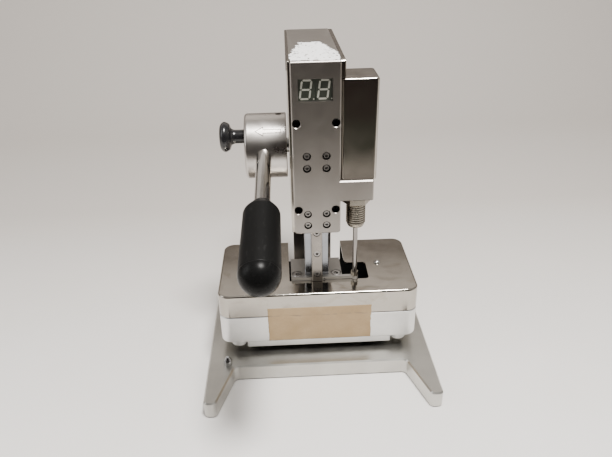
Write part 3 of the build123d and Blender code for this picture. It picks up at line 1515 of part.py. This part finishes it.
def make_release_knob():
    axis_z = SHAFT_Z + KNOB_OFFSET
    profile_plane = Plane(origin=(0, SHAFT_Y, axis_z), x_dir=(1, 0, 0), z_dir=(0, -1, 0))
    with BuildPart() as release_knob:
        with BuildSketch(profile_plane):
            with BuildLine():
                Polyline((KNOB_HEAD_X0, 0), (KNOB_HEAD_X0, 7.5))
                Spline(
                    (KNOB_HEAD_X0, 7.5),
                    (KNOB_HEAD_X0 + 1.0, 10.6),
                    (KNOB_HEAD_X0 + 4.0, KNOB_HEAD_R),
                    (KNOB_HEAD_X0 + 7.0, 11.2),
                    (KNOB_HEAD_X1, 7.8),
                    tangents=[(0, 1), (0.3, -1)],
                )
                Spline(
                    (KNOB_HEAD_X1, 7.8),
                    (KNOB_HEAD_X1 + 1.6, KNOB_NECK_R + 0.5),
                    (KNOB_HEAD_X1 + 4.0, KNOB_NECK_R),
                    tangents=[(0.3, -1), (1, 0)],
                )
                Polyline(
                    (KNOB_HEAD_X1 + 4.0, KNOB_NECK_R),
                    (KNOB_NECK_X1, KNOB_NECK_R),
                    (KNOB_NECK_X1, BUSH_R + PIN_GAP),
                    (BUSH_X0 - 5.4, BUSH_R + PIN_GAP),
                    (BUSH_X0 - 5.4, 0),
                    (KNOB_HEAD_X0, 0),
                )
            make_face()
        revolve(axis=Axis((0, SHAFT_Y, axis_z), (1, 0, 0)))
        with BuildSketch(side(BUSH_X0 - 5.4)):
            with Locations((SHAFT_Y, axis_z)):
                Circle(PIN_R)
        extrude(amount=-3.6, mode=Mode.SUBTRACT)
    return release_knob


def make_plunger_pin():
    with BuildPart() as plunger_pin:
        with BuildSketch(side(BUSH_X0 - 9.0)):
            with Locations((SHAFT_Y, SHAFT_Z + KNOB_OFFSET)):
                Circle(PIN_R)
        extrude(amount=PIN_X1 - BUSH_X0 + 9.0)
        chamfer(plunger_pin.edges().sort_by(Axis.X)[-1], 0.4)
    return plunger_pin


MAKERS = {
    "non_slip_mat": make_mat,
    "base_plate": make_base_plate,
    "tray_pins": make_tray_pins,
    "base_screws": make_base_screws,
    "frame_body": make_frame_body,
    "front_plate": make_front_plate,
    "plate_screws": make_plate_screws,
    "carriage_screws": make_carriage_screws,
    "carriage_blocks": make_carriage_blocks,
    "carriage_caps": make_carriage_caps,
    "display_segments": make_display_segments,
    "display_modules": make_display_modules,
    "display_board": make_display_board,
    "left_panel": make_left_panel,
    "right_panel": make_right_panel,
    "panel_screws": make_panel_screws,
    "damper_cover": make_damper_cover,
    "damper_body": make_damper_body,
    "damper_nuts": make_damper_nuts,
    "shaft_bearings": make_bearings,
    "battery": make_battery,
    "control_board": make_control_board,
    "ram_bar": make_ram_bar,
    "guide_rail": make_guide_rail,
    "rail_screws": make_rail_screws,
    "gear_rack": make_gear_rack,
    "rack_screws": make_rack_screws,
    "ram_foot": make_ram_foot,
    "foot_screws": make_foot_screws,
    "foot_set_screw": make_foot_set_screw,
    "damper_rod": make_damper_rod,
    "rod_nuts": make_rod_nuts,
    "platen_cover": make_platen_cover,
    "cover_posts": make_cover_posts,
    "cover_studs": make_cover_studs,
    "liner_sheet": make_liner_sheet,
    "platen_body": make_platen_body,
    "load_cell": make_load_cell,
    "press_plate": make_press_plate,
    "press_plate_screws": make_press_plate_screws,
    "press_pad": make_press_pad,
    "corner_bosses": make_corner_bosses,
    "boss_screws": make_boss_screws,
    "paper_tape": make_paper_tape,
    "pinion_gear": make_pinion_gear,
    "pinion_shaft": make_pinion_shaft,
    "pinion_key": make_pinion_key,
    "retaining_ring": make_retaining_ring,
    "lever_hub": make_lever_hub,
    "index_disc": make_index_disc,
    "hub_set_screw": make_hub_set_screw,
    "lever_rod": make_lever_rod,
    "lever_grip": make_lever_grip,
    "plunger_bush": make_plunger_bush,
    "release_knob": make_release_knob,
    "plunger_pin": make_plunger_pin,
}

os.makedirs("parts", exist_ok=True)
for part_name, maker in MAKERS.items():
    made = maker()
    made.part.label = part_name
    export_step(made.part, "parts/" + part_name + ".step")
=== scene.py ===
"""Looks for the bench lever press.

Metres, in the CAD frame: the ram is at X 0, the front plate's face at Y 0 and the table at Z 0.
"""
import math

import bmesh
import bpy
from mathutils import Matrix, Vector, noise


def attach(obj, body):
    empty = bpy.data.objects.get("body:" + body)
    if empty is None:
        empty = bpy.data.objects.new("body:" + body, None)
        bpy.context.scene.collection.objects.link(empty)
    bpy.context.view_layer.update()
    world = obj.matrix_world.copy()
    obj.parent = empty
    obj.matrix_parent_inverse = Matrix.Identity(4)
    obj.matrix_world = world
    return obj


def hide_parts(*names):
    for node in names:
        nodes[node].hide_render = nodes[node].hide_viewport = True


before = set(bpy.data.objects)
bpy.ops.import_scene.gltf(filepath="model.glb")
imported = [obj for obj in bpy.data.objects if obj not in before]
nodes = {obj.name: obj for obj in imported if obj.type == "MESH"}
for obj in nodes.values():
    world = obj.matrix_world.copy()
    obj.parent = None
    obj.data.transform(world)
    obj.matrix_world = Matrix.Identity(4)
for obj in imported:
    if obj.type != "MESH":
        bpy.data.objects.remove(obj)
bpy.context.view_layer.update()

# Places on the object that the materials and the tape refer to.
HEAD_TOP = 0.2681
LABEL_FRONT, LABEL_BACK = 0.002, 0.068
LABEL_HALF_FRONT, LABEL_HALF_BACK = 0.0215, 0.0075
PLATE_SKIN_Y, PLATE_BORES_HALF_X = 0.00045, 0.0165
PLATE_BORES_LOW, PLATE_BORES_HIGH = 0.1308, 0.2365
RAIL_SKIN_Y, RAIL_BORE_HALF_X = 0.0123, 0.0036
HUB_AXIS_Y, HUB_AXIS_Z, HUB_SKIN_R = 0.047, 0.1894, 0.02668
HUB_LEFT, HUB_RIGHT = -0.0533, -0.0225
COVER_RIM_TOP = 0.0537
BOSS_RIM_TOP = 0.0219
GRIP_AXIS = Vector((-0.0221, -0.9608, -0.2773))
DOME_CENTRE = Vector((-0.0435, -0.0985, 0.1550))
TAPE_LOW = (-0.0443, -0.00655, 0.0274)
TAPE_HIGH = (0.0455, -0.0064, 0.0616)
TAPE_FOLD_Z, TAPE_FOLD_HALF, TAPE_FOLD_SWAY = 0.0533, 0.0011, 0.0005
TAPE_FOLD_STRENGTH = 1.2
TAPE_SKIN = 0.00002
TAPE_TEAR, TAPE_NICK = 0.0008, 0.00025

# Colours: two metals as a darker and a lighter shade, polished steel as clean and stained.
SATIN = ((0.325, 0.30, 0.275), (0.38, 0.355, 0.33))
SILVER = ((0.78, 0.775, 0.76), (0.87, 0.865, 0.85))
STEEL = ((0.45, 0.42, 0.375), (0.29, 0.255, 0.205))
# The next colour is painted shade for the dark lower rims at seams.
RIM_SHADE = (0.03, 0.028, 0.025)
PAPER_WHITE = (0.90, 0.90, 0.89)

# Noise stretched into fine scratches that run up and down.
UPRIGHT = (2400, 2400, 20)


# ---------------------------------------------------------------- materials
class Look:
    """A Principled material whose colour, roughness and bump come from object-space textures."""

    def __init__(self, name, metallic=0.0, roughness=0.4, base=(0.5, 0.5, 0.5), **sockets):
        self.mat = bpy.data.materials.new(name)
        self.mat.use_nodes = True
        self.tree = self.mat.node_tree
        self.shader = self.tree.nodes["Principled BSDF"]
        self.shader.inputs["Metallic"].default_value = metallic
        self.shader.inputs["Roughness"].default_value = roughness
        self.shader.inputs["Base Color"].default_value = (*base, 1)
        for socket, value in sockets.items():
            self.shader.inputs[socket.replace("_", " ")].default_value = value
        self.object_space = self.node("ShaderNodeTexCoord").outputs["Object"]
        self.height = None

    def node(self, kind, **values):
        made = self.tree.nodes.new(kind)
        for key, value in values.items():
            setattr(made, key, value)
        return made

    def link(self, source, target):
        if hasattr(source, "is_linked"):
            self.tree.links.new(source, target)
        else:
            target.default_value = source

    def space(self, stretch):
        if stretch is None:
            return self.object_space
        mapping = self.node("ShaderNodeMapping")
        self.link(self.object_space, mapping.inputs["Vector"])
        mapping.inputs["Scale"].default_value = stretch
        return mapping.outputs["Vector"]

    def noise(self, scale, detail=3.0, stretch=None, rough=0.5, distortion=0.0):
        tex = self.node("ShaderNodeTexNoise")
        self.link(self.space(stretch), tex.inputs["Vector"])
        tex.inputs["Scale"].default_value = scale
        tex.inputs["Detail"].default_value = detail
        tex.inputs["Roughness"].default_value = rough
        tex.inputs["Distortion"].default_value = distortion
        return tex.outputs["Fac"]

    def cells(self, scale, stretch=None):
        tex = self.node("ShaderNodeTexVoronoi")
        self.link(self.space(stretch), tex.inputs["Vector"])
        tex.inputs["Scale"].default_value = scale
        return tex.outputs["Distance"]

    def axis(self, which):
        split = self.node("ShaderNodeSeparateXYZ")
        self.link(self.object_space, split.inputs[0])
        return split.outputs[which]

    def spread(self, value, low, high, out_low=0.0, out_high=1.0):
        ranged = self.node("ShaderNodeMapRange")
        self.link(value, ranged.inputs["Value"])
        ranged.inputs["From Min"].default_value = low
        ranged.inputs["From Max"].default_value = high
        ranged.inputs["To Min"].default_value = out_low
        ranged.inputs["To Max"].default_value = out_high
        return ranged.outputs["Result"]

    def maths(self, kind, a, b):
        step = self.node("ShaderNodeMath", operation=kind)
        self.link(a, step.inputs[0])
        self.link(b, step.inputs[1])
        return step.outputs[0]

    def above(self, value, limit):
        return self.maths("GREATER_THAN", value, limit)

    def below(self, value, limit):
        return self.maths("LESS_THAN", value, limit)

    def magnitude(self, value):
        return self.maths("ABSOLUTE", value, 0)

    def product(self, *factors):
        total = factors[0]
        for factor in factors[1:]:
            total = self.maths("MULTIPLY", total, factor)
        return total

    def source_of(self, socket):
        """What is linked to a shader socket so far."""
        return self.shader.inputs[socket].links[0].from_socket

    def mix(self, fac, a, b):
        blend = self.node("ShaderNodeMix", data_type="RGBA")
        self.link(fac, blend.inputs["Factor"])
        for value, target in ((a, blend.inputs[6]), (b, blend.inputs[7])):
            self.link((*value, 1) if isinstance(value, tuple) else value, target)
        return blend.outputs[2]

    def colour(self, source):
        self.link(source, self.shader.inputs["Base Color"])
        return self

    def roughness(self, source):
        self.link(source, self.shader.inputs["Roughness"])
        return self

    def bump(self, height, depth):
        step = self.node("ShaderNodeBump")
        step.inputs["Distance"].default_value = depth
        step.inputs["Strength"].default_value = 1.0
        self.link(height, step.inputs["Height"])
        if self.height is not None:
            self.link(self.height, step.inputs["Normal"])
        self.height = step.outputs["Normal"]
        self.link(self.height, self.shader.inputs["Normal"])
        return self


def metal(
    name, dark, light, rough_low, rough_high, grain=2600, grain_depth=2e-6, brushed=None, brush_depth=1e-6
):
    look = Look(name, metallic=1.0)
    clouds = look.noise(28, 4)
    look.colour(look.mix(look.spread(clouds, 0.35, 0.65), dark, light))
    smear = look.noise(75, 5, distortion=0.6)
    look.roughness(look.spread(smear, 0.3, 0.7, rough_low, rough_high))
    look.bump(look.noise(grain, 2), grain_depth)
    if brushed:
        look.bump(look.noise(1.0, 3, stretch=brushed), brush_depth)
    return look


def smudged_steel(name, brushed, rough_low=0.07, rough_high=0.2, shade_rim_top=None):
    """Polished steel with stains and specks, and a lower rim painted dark as shade if one is given."""
    look = Look(name, metallic=1.0)
    stain = look.spread(look.noise(34, 6, distortion=1.2), 0.52, 0.7)
    speck = look.spread(look.cells(260), 0.0, 0.16, 1.0, 0.0)
    dirt = look.maths("MAXIMUM", look.product(stain, 0.65), look.product(speck, 0.25))
    skin = look.mix(dirt, *STEEL)
    if shade_rim_top:
        # Painted shade: below the given rim top the steel is coloured dark, standing in for the shadow gap
        # at the seam.
        skin = look.mix(look.spread(look.axis("Z"), shade_rim_top, shade_rim_top + 0.0002), RIM_SHADE, skin)
    look.colour(skin)
    rough = look.spread(look.noise(60, 4), 0.3, 0.7, rough_low, rough_high)
    look.roughness(look.maths("ADD", rough, look.product(dirt, 0.16)))
    look.bump(look.noise(1.0, 3, stretch=brushed), 1.2e-6)
    look.bump(look.noise(11, 2), 6e-5)
    return look


def label_residue(look):
    """A mask for the ragged white paper that a torn label left on the head's top face."""
    torn = look.maths("SUBTRACT", look.noise(150, 6, rough=0.65), 0.5)
    y = look.maths("ADD", look.axis("Y"), look.product(torn, 0.016))
    taper = look.spread(y, LABEL_FRONT + 0.010, LABEL_BACK, LABEL_HALF_FRONT, LABEL_HALF_BACK)
    sideways = look.maths("ADD", look.magnitude(look.axis("X")), look.product(torn, 0.012))
    on_top = look.above(look.axis("Z"), HEAD_TOP - 0.00015)
    thin = look.above(look.noise(420, 5), 0.38)
    along = look.product(look.above(y, LABEL_FRONT), look.below(y, LABEL_BACK))
    return look.product(along, look.below(sideways, taper), on_top, thin)


def plate_bore_shade_mask(look):
    """A mask for the insides of the front plate's screw holes, which get painted shade."""
    across = look.below(look.magnitude(look.axis("X")), PLATE_BORES_HALF_X)
    z = look.axis("Z")
    deep = look.above(look.axis("Y"), PLATE_SKIN_Y)
    return look.product(deep, across, look.above(z, PLATE_BORES_LOW), look.below(z, PLATE_BORES_HIGH))


def satin_with_label_residue(name, shaded_bores=False):
    """Satin aluminium with paper left on top, and painted shade in the bores if asked."""
    look = metal(name, *SATIN, 0.34, 0.39, brushed=(60, 60, 2600))
    bare = look.source_of("Base Color")
    if shaded_bores:
        # Painted shade: the insides of the bores are coloured dark.
        bare = look.mix(plate_bore_shade_mask(look), bare, (0.045, 0.042, 0.04))
    patch = label_residue(look)
    look.colour(look.mix(patch, bare, PAPER_WHITE))
    look.link(look.maths("SUBTRACT", 1.0, patch), look.shader.inputs["Metallic"])
    look.roughness(look.maths("MAXIMUM", look.source_of("Roughness"), look.product(patch, 0.85)))
    return look


def turned_hub(name):
    """Turned aluminium; the engraved arrow and the holes lie under the skin and are painted darker as
    shade.
    """
    look = metal(
        name, (0.52, 0.49, 0.46), (0.61, 0.58, 0.55), 0.26, 0.34, brushed=(2600, 25, 25), brush_depth=3e-6
    )
    y = look.maths("SUBTRACT", look.axis("Y"), HUB_AXIS_Y)
    z = look.maths("SUBTRACT", look.axis("Z"), HUB_AXIS_Z)
    square = look.maths("ADD", look.product(y, y), look.product(z, z))
    under = look.below(look.maths("SQRT", square, 0), HUB_SKIN_R)
    within = look.product(look.above(look.axis("X"), HUB_LEFT), look.below(look.axis("X"), HUB_RIGHT))
    # Painted shade: everything under the turned skin is coloured darker.
    look.colour(look.mix(look.product(under, within), look.source_of("Base Color"), (0.24, 0.22, 0.20)))
    return look


def silver_with_painted_rim_shade(name):
    """Blasted silver whose lowest edge is painted dark as the shade beneath the boss."""
    look = metal(name, *SILVER, 0.40, 0.52, grain=3200, grain_depth=4e-6)
    above_rim_shade = look.spread(look.axis("Z"), BOSS_RIM_TOP, BOSS_RIM_TOP + 0.0003)
    # Painted shade: the edge below the rim top is coloured dark.
    look.colour(look.mix(above_rim_shade, RIM_SHADE, look.source_of("Base Color")))
    return look


def rail_with_painted_bore_shade(name):
    """Rail steel whose counterbores are painted dark as shade."""
    look = metal(name, (0.25, 0.23, 0.205), (0.33, 0.305, 0.28), 0.24, 0.36)
    deep = look.above(look.axis("Y"), RAIL_SKIN_Y)
    central = look.below(look.magnitude(look.axis("X")), RAIL_BORE_HALF_X)
    # Painted shade: the insides of the counterbores are coloured near black.
    look.colour(look.mix(look.product(deep, central), look.source_of("Base Color"), (0.02, 0.019, 0.018)))
    return look


def plastic(name, base, rough_low, rough_high, mark_scale=140, grain_depth=4e-6, **sockets):
    look = Look(name, base=base, **sockets)
    light = tuple(min(1.0, c * 1.5 + 0.004) for c in base)
    look.colour(look.mix(look.spread(look.noise(mark_scale, 5), 0.45, 0.8), base, light))
    look.roughness(look.spread(look.noise(mark_scale * 0.6, 4), 0.3, 0.7, rough_low, rough_high))
    look.bump(look.noise(1800, 2), grain_depth)
    return look


def grip_plastic():
    """Moulded black grip: satin where a hand has rubbed it, glossier dome at the end."""
    look = Look("grip_black", base=(0.008, 0.008, 0.008), Specular_IOR_Level=0.10)
    reach = look.node("ShaderNodeVectorMath", operation="DOT_PRODUCT")
    look.link(look.object_space, reach.inputs[0])
    reach.inputs[1].default_value = GRIP_AXIS
    along = look.maths("SUBTRACT", reach.outputs["Value"], GRIP_AXIS.dot(DOME_CENTRE))
    dome = look.spread(along, -0.0006, 0.0006)
    wear_and_fold_shade = look.spread(look.noise(55, 5), 0.35, 0.7, 0.44, 0.54)
    fine = look.spread(look.noise(300, 3), 0.4, 0.6, 0.27, 0.32)
    mixed = look.node("ShaderNodeMix", data_type="FLOAT")
    look.link(dome, mixed.inputs["Factor"])
    look.link(wear_and_fold_shade, mixed.inputs[2])
    look.link(fine, mixed.inputs[3])
    look.roughness(mixed.outputs[0])
    scuff = look.spread(look.noise(520, 4, stretch=(1.0, 0.12, 1.0)), 0.62, 0.75)
    look.colour(look.mix(look.product(scuff, 0.5), (0.005, 0.005, 0.005), (0.022, 0.022, 0.022)))
    seam = look.spread(look.magnitude(along), 0.0, 0.0005)
    look.bump(seam, 1.2e-4)
    look.bump(look.noise(900, 3), 3e-6)
    return look


def paper():
    """Tan paper with fibres, blotches and painted shade along the fold."""
    look = Look("tan_paper_tape", base=(0.6, 0.45, 0.3), roughness=0.62)
    fibres = look.noise(1.0, 4, stretch=(420, 420, 2400))
    blotch = look.spread(look.noise(55, 5), 0.35, 0.7)
    shade = look.mix(blotch, (0.40, 0.275, 0.14), (0.48, 0.345, 0.195))
    shade = look.mix(look.spread(fibres, 0.45, 0.75, 0.0, 0.45), shade, (0.36, 0.24, 0.125))
    wander = look.product(look.maths("SUBTRACT", look.noise(110, 3), 0.5), 0.0024)
    from_fold = look.maths("SUBTRACT", look.maths("ADD", look.axis("Z"), wander), TAPE_FOLD_Z)
    near_fold = look.spread(look.magnitude(from_fold), 0.0003, 0.0009, 1.0, 0.0)
    wear_and_fold_shade = look.product(near_fold, look.spread(look.noise(160, 4), 0.4, 0.6))
    # Painted shade: the paper is coloured darker in patches along the fold crease.
    look.colour(look.mix(look.product(wear_and_fold_shade, 0.75), shade, (0.27, 0.20, 0.13)))
    look.bump(look.noise(900, 4), 1.5e-5)
    look.bump(look.noise(1.0, 2, stretch=(60, 60, 500)), 1.0e-4)
    look.bump(look.spread(look.noise(70, 3, distortion=1.0), 0.45, 0.55), 5e-5)
    return look


def circuit_board():
    look = Look("solder_mask_green", base=(0.03, 0.18, 0.08), roughness=0.35)
    tracks = look.spread(look.cells(420), 0.10, 0.16)
    look.colour(look.mix(tracks, (0.05, 0.26, 0.12), (0.02, 0.13, 0.06)))
    look.bump(tracks, 2e-5)
    return look


base_satin = metal(
    "base_aluminium", (0.47, 0.46, 0.43), (0.57, 0.56, 0.525), 0.30, 0.38, grain=1500, grain_depth=5e-6
)
foot_satin = metal("foot_aluminium", (0.50, 0.485, 0.46), (0.58, 0.565, 0.54), 0.44, 0.54, grain_depth=4e-6)
residue = satin_with_label_residue("satin_with_residue")
shaded_bores = satin_with_label_residue("satin_with_painted_bore_shade", shaded_bores=True)
silver = metal("blasted_silver", *SILVER, 0.40, 0.52, grain=3200, grain_depth=4e-6)
rim_shaded_silver = silver_with_painted_rim_shade("silver_painted_rim_shade")
turned = turned_hub("turned_aluminium")
mirror_x = smudged_steel("polished_steel_x", (14, 2600, 2600), shade_rim_top=COVER_RIM_TOP)
mirror_z = smudged_steel("polished_steel_z", (2600, 2600, 14), 0.05, 0.15)
chromed = metal("bright_chrome", (0.62, 0.61, 0.59), (0.70, 0.69, 0.67), 0.07, 0.16, grain_depth=5e-7)
blued = metal(
    "ram_steel", (0.24, 0.25, 0.27), (0.33, 0.34, 0.36), 0.16, 0.28, brushed=UPRIGHT, brush_depth=2e-6
)
rail_steel = rail_with_painted_bore_shade("rail_steel")
rod_steel = metal("rod_steel", (0.24, 0.225, 0.21), (0.32, 0.30, 0.285), 0.10, 0.18)
socket_steel = metal("socket_steel", (0.30, 0.285, 0.27), (0.40, 0.385, 0.37), 0.24, 0.36)
ground = metal(
    "ground_steel", (0.42, 0.42, 0.42), (0.54, 0.54, 0.545), 0.16, 0.30, brushed=UPRIGHT, brush_depth=2e-6
)
nickel = metal("nickel_plate", (0.27, 0.245, 0.205), (0.37, 0.34, 0.29), 0.18, 0.32)
screw_steel = metal("screw_steel", (0.45, 0.44, 0.43), (0.60, 0.59, 0.575), 0.20, 0.36)
black_oxide = metal("black_oxide", (0.012, 0.012, 0.012), (0.03, 0.03, 0.03), 0.35, 0.5)
black_grip = grip_plastic()
black_knob = plastic("knob_black", (0.010, 0.010, 0.011), 0.14, 0.30)
rubber = plastic("rubber_black", (0.016, 0.016, 0.016), 0.72, 0.9, grain_depth=2e-5)
# Painted shade: the liner sheet is coloured near black to stand in for the shade inside the hollow platen.
shade_liner = plastic("painted_shade_liner", (0.004, 0.004, 0.004), 0.75, 0.9)
green_caps = plastic("cap_green", (0.03, 0.16, 0.09), 0.35, 0.5)
sleeve = plastic("battery_blue", (0.03, 0.08, 0.28), 0.3, 0.45)
display_dark = plastic("display_face", (0.030, 0.034, 0.027), 0.16, 0.28, Coat_Weight=0.2)
display_pale = plastic("display_segment", (0.31, 0.31, 0.27), 0.28, 0.4)
tape_paper = paper()
board = circuit_board()

PAINT = {
    residue: ["frame_body"],
    shaded_bores: ["front_plate"],
    foot_satin: ["ram_foot"],
    base_satin: ["base_plate"],
    silver: ["platen_body", "press_plate"],
    rim_shaded_silver: ["corner_bosses"],
    turned: ["lever_hub"],
    mirror_x: ["platen_cover"],
    mirror_z: ["damper_cover", "left_panel", "right_panel"],
    chromed: ["cover_studs", "lever_rod"],
    blued: ["ram_bar"],
    rail_steel: ["guide_rail"],
    rod_steel: ["damper_rod"],
    socket_steel: ["carriage_screws", "rail_screws"],
    ground: ["carriage_blocks", "gear_rack", "load_cell", "index_disc", "tray_pins"],
    nickel: ["damper_body", "damper_nuts", "rod_nuts", "plunger_bush", "cover_posts"],
    screw_steel: [
        "foot_screws", "panel_screws", "base_screws", "boss_screws", "press_plate_screws", "rack_screws",
        "hub_set_screw", "foot_set_screw", "pinion_gear", "pinion_shaft", "pinion_key", "shaft_bearings",
        "plunger_pin",
    ],
    black_oxide: ["plate_screws", "retaining_ring"],
    black_grip: ["lever_grip"],
    black_knob: ["release_knob"],
    rubber: ["non_slip_mat", "press_pad"],
    shade_liner: ["liner_sheet"],
    green_caps: ["carriage_caps"],
    sleeve: ["battery"],
    display_dark: ["display_modules"],
    display_pale: ["display_segments"],
    tape_paper: ["paper_tape"],
    board: ["display_board", "control_board"],
}
for look, names in PAINT.items():
    for name in names:
        mesh = nodes[name].data
        mesh.materials.clear()
        mesh.materials.append(look.mat)


# ---------------------------------------------------------------- tape
def tape_point(u, v, low, high, outer):
    """A vertex of the strip at u along and v up; the outer skin carries the wrinkles and the fold."""
    tear = TAPE_TEAR * abs(noise.noise(Vector((3.1, v * 9, 0.4 + 5 * round(u)))))
    nick = TAPE_NICK * abs(noise.noise(Vector((u * 30, 7.7, 2.0 * round(v)))))
    x = low[0] + tear + u * (high[0] - low[0] - 2 * tear)
    z = low[2] + nick + v * (high[2] - low[2] - 2 * nick)
    if not outer:
        return x, high[1], z
    crease = 0.5 + 0.5 * noise.noise(Vector((u * 5, v * 7, 1.3)))
    crease += 0.35 * noise.noise(Vector((u * 17, v * 3, 8.0)))
    fold = abs(z - TAPE_FOLD_Z - TAPE_FOLD_SWAY * noise.noise(Vector((u * 9, 0.3, 5.0))))
    crease -= TAPE_FOLD_STRENGTH * max(0.0, 1.0 - fold / TAPE_FOLD_HALF)
    height = high[1] - low[1] - TAPE_SKIN
    return x, high[1] - TAPE_SKIN - height * min(1.0, max(0.0, crease)), z


def paper_strip(name, low, high, columns=90, rows=68):
    """The tape as a thin strip with torn ends, a few raised wrinkles and a fold."""
    sheet = bmesh.new()
    layers = []
    for is_outer in (True, False):
        grid = []
        for i in range(columns + 1):
            places = [tape_point(i / columns, j / rows, low, high, is_outer) for j in range(rows + 1)]
            grid.append([sheet.verts.new(place) for place in places])
        layers.append(grid)
    outer, inner = layers
    for i in range(columns):
        for j in range(rows):
            sheet.faces.new((outer[i][j], outer[i + 1][j], outer[i + 1][j + 1], outer[i][j + 1]))
            sheet.faces.new((inner[i][j], inner[i][j + 1], inner[i + 1][j + 1], inner[i + 1][j]))
    ring = [(i, 0) for i in range(columns)] + [(columns, j) for j in range(rows)]
    ring += [(i, rows) for i in range(columns, 0, -1)] + [(0, j) for j in range(rows, 0, -1)]
    for (i, j), (k, m) in zip(ring, ring[1:] + ring[:1]):
        sheet.faces.new((outer[k][m], outer[i][j], inner[i][j], inner[k][m]))
    bmesh.ops.recalc_face_normals(sheet, faces=sheet.faces)
    mesh = bpy.data.meshes.new(name)
    sheet.to_mesh(mesh)
    sheet.free()
    mesh.polygons.foreach_set("use_smooth", [True] * len(mesh.polygons))
    mesh.materials.append(tape_paper.mat)
    made = bpy.data.objects.new(name, mesh)
    bpy.context.scene.collection.objects.link(made)
    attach(made, "ram")
    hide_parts("paper_tape")


paper_strip("wrinkled_tape", TAPE_LOW, TAPE_HIGH)


# ---------------------------------------------------------------- stage
def stage_mesh(name, verts, faces, look):
    mesh = bpy.data.meshes.new(name)
    mesh.from_pydata(verts, [], faces)
    mesh.polygons.foreach_set("use_smooth", [True] * len(faces))
    mesh.materials.append(look.mat)
    made = bpy.data.objects.new(name, mesh)
    bpy.context.scene.collection.objects.link(made)
    return made


def pale_floor():
    look = Look("pale_floor", roughness=0.75)
    near = look.mix(look.spread(look.noise(9, 3), 0.3, 0.7), (0.92, 0.90, 0.875), (0.95, 0.93, 0.91))
    # Painted shade: the floor and backdrop are coloured darker towards the back.
    look.colour(look.mix(look.spread(look.axis("Y"), -0.12, 0.32), near, (0.58, 0.545, 0.51)))
    look.bump(look.noise(700, 3), 3e-5)
    return look


def floor_sweep(look):
    """A floor that curves up into a backdrop behind the press."""
    profile = [(FLOOR_FRONT, 0.0), (BEND_START, 0.0)]
    for step in range(1, BEND_STEPS + 1):
        turn = math.radians(90 * step / BEND_STEPS)
        profile.append((BEND_START + BEND_R * math.sin(turn), BEND_R - BEND_R * math.cos(turn)))
    profile.append((BEND_START + BEND_R, BACKDROP_TOP))
    verts = [(x, y, z) for y, z in profile for x in (-FLOOR_HALF, FLOOR_HALF)]
    faces = [(2 * n, 2 * n + 1, 2 * n + 3, 2 * n + 2) for n in range(len(profile) - 1)]
    stage_mesh("floor_sweep", verts, faces, look)


def reflected_card(name, half, near, far, which, stops):
    """A studio flag between two (y, z) edges: polished faces reflect it, and nothing else sees it."""
    look = Look(name, roughness=0.9)
    shade = stops[0][1]
    for (place, _), (further, colour) in zip(stops, stops[1:]):
        shade = look.mix(look.spread(look.axis(which), place, further), shade, colour)
    look.colour(shade)
    verts = [(-half, *near), (half, *near), (half, *far), (-half, *far)]
    card = stage_mesh(name, verts, [(0, 1, 2, 3)], look)
    card.visible_camera = False
    card.visible_diffuse = False
    card.visible_transmission = False
    card.visible_shadow = False


FLOOR_FRONT, FLOOR_HALF = -3.0, 6.0
BEND_START, BEND_R, BEND_STEPS = 0.62, 0.3, 12
BACKDROP_TOP = 2.2
BROWN, GREEN = (0.016, 0.009, 0.007), (0.024, 0.026, 0.018)
GREY, PALE = (0.10, 0.092, 0.085), (0.24, 0.225, 0.21)
BACK_LOW, BACK_HIGH = (0.14, 0.125, 0.115), (0.45, 0.43, 0.41)
LOW_STOPS = [(-0.72, BROWN), (-0.60, GREEN), (-0.50, GREEN), (-0.42, PALE), (-0.36, GREY)]

floor_sweep(pale_floor())
reflected_card("low_flag", 2.5, (-3.0, 0.004), (-0.30, 0.004), "Y", LOW_STOPS)
reflected_card("front_flag", 2.2, (-1.7, 0.0), (-1.7, 1.6), "Z", [(0.0, BROWN), (1.6, BROWN)])
reflected_card("back_flag", 2.2, (0.60, 0.12), (0.60, 1.0), "Z", [(0.40, BACK_LOW), (0.46, BACK_HIGH)])


# ---------------------------------------------------------------- light and camera
def area_light(name, place, aim, size, power, colour=(1, 1, 1)):
    data = bpy.data.lights.new(name, "AREA")
    data.shape = "RECTANGLE"
    data.size, data.size_y = size
    data.energy = power
    data.color = colour
    lamp = bpy.data.objects.new(name, data)
    bpy.context.scene.collection.objects.link(lamp)
    lamp.location = place
    lamp.rotation_mode = "QUATERNION"
    lamp.rotation_quaternion = (Vector(aim) - Vector(place)).to_track_quat("-Z", "Y")


area_light("key", (0.16, -0.25, 1.2), (0.0, 0.02, 0.1), (0.26, 0.26), 26.0, (1.0, 0.975, 0.94))
area_light("left", (-1.1, -0.1, 0.7), (0.0, 0.0, 0.1), (0.6, 0.8), 3.0)

world = bpy.data.worlds.new("studio")
bpy.context.scene.world = world
world.use_nodes = True
sky = world.node_tree.nodes["Background"]
sky.inputs["Color"].default_value = (0.86, 0.825, 0.79, 1)
sky.inputs["Strength"].default_value = 0.56

CAMERA_PLACE = Vector((-0.02404, -0.42252, 0.36180))
PITCH, YAW, ROLL = math.radians(28.24), math.radians(1.99), math.radians(-1.30)
ahead = Vector((math.sin(YAW) * math.cos(PITCH), math.cos(YAW) * math.cos(PITCH), -math.sin(PITCH)))
level_right = Vector((math.cos(YAW), -math.sin(YAW), 0))
level_up = level_right.cross(ahead)
right = math.cos(ROLL) * level_right + math.sin(ROLL) * level_up
up = math.cos(ROLL) * level_up - math.sin(ROLL) * level_right
camera_data = bpy.data.cameras.new("camera")
camera_data.lens = 34.91
camera_data.sensor_width = 36.0
camera_data.clip_start, camera_data.clip_end = 0.01, 20.0
camera = bpy.data.objects.new("camera", camera_data)
bpy.context.scene.collection.objects.link(camera)
facing = Matrix((right, up, -ahead)).transposed().to_4x4()
camera.matrix_world = Matrix.Translation(CAMERA_PLACE) @ facing
bpy.context.scene.camera = camera
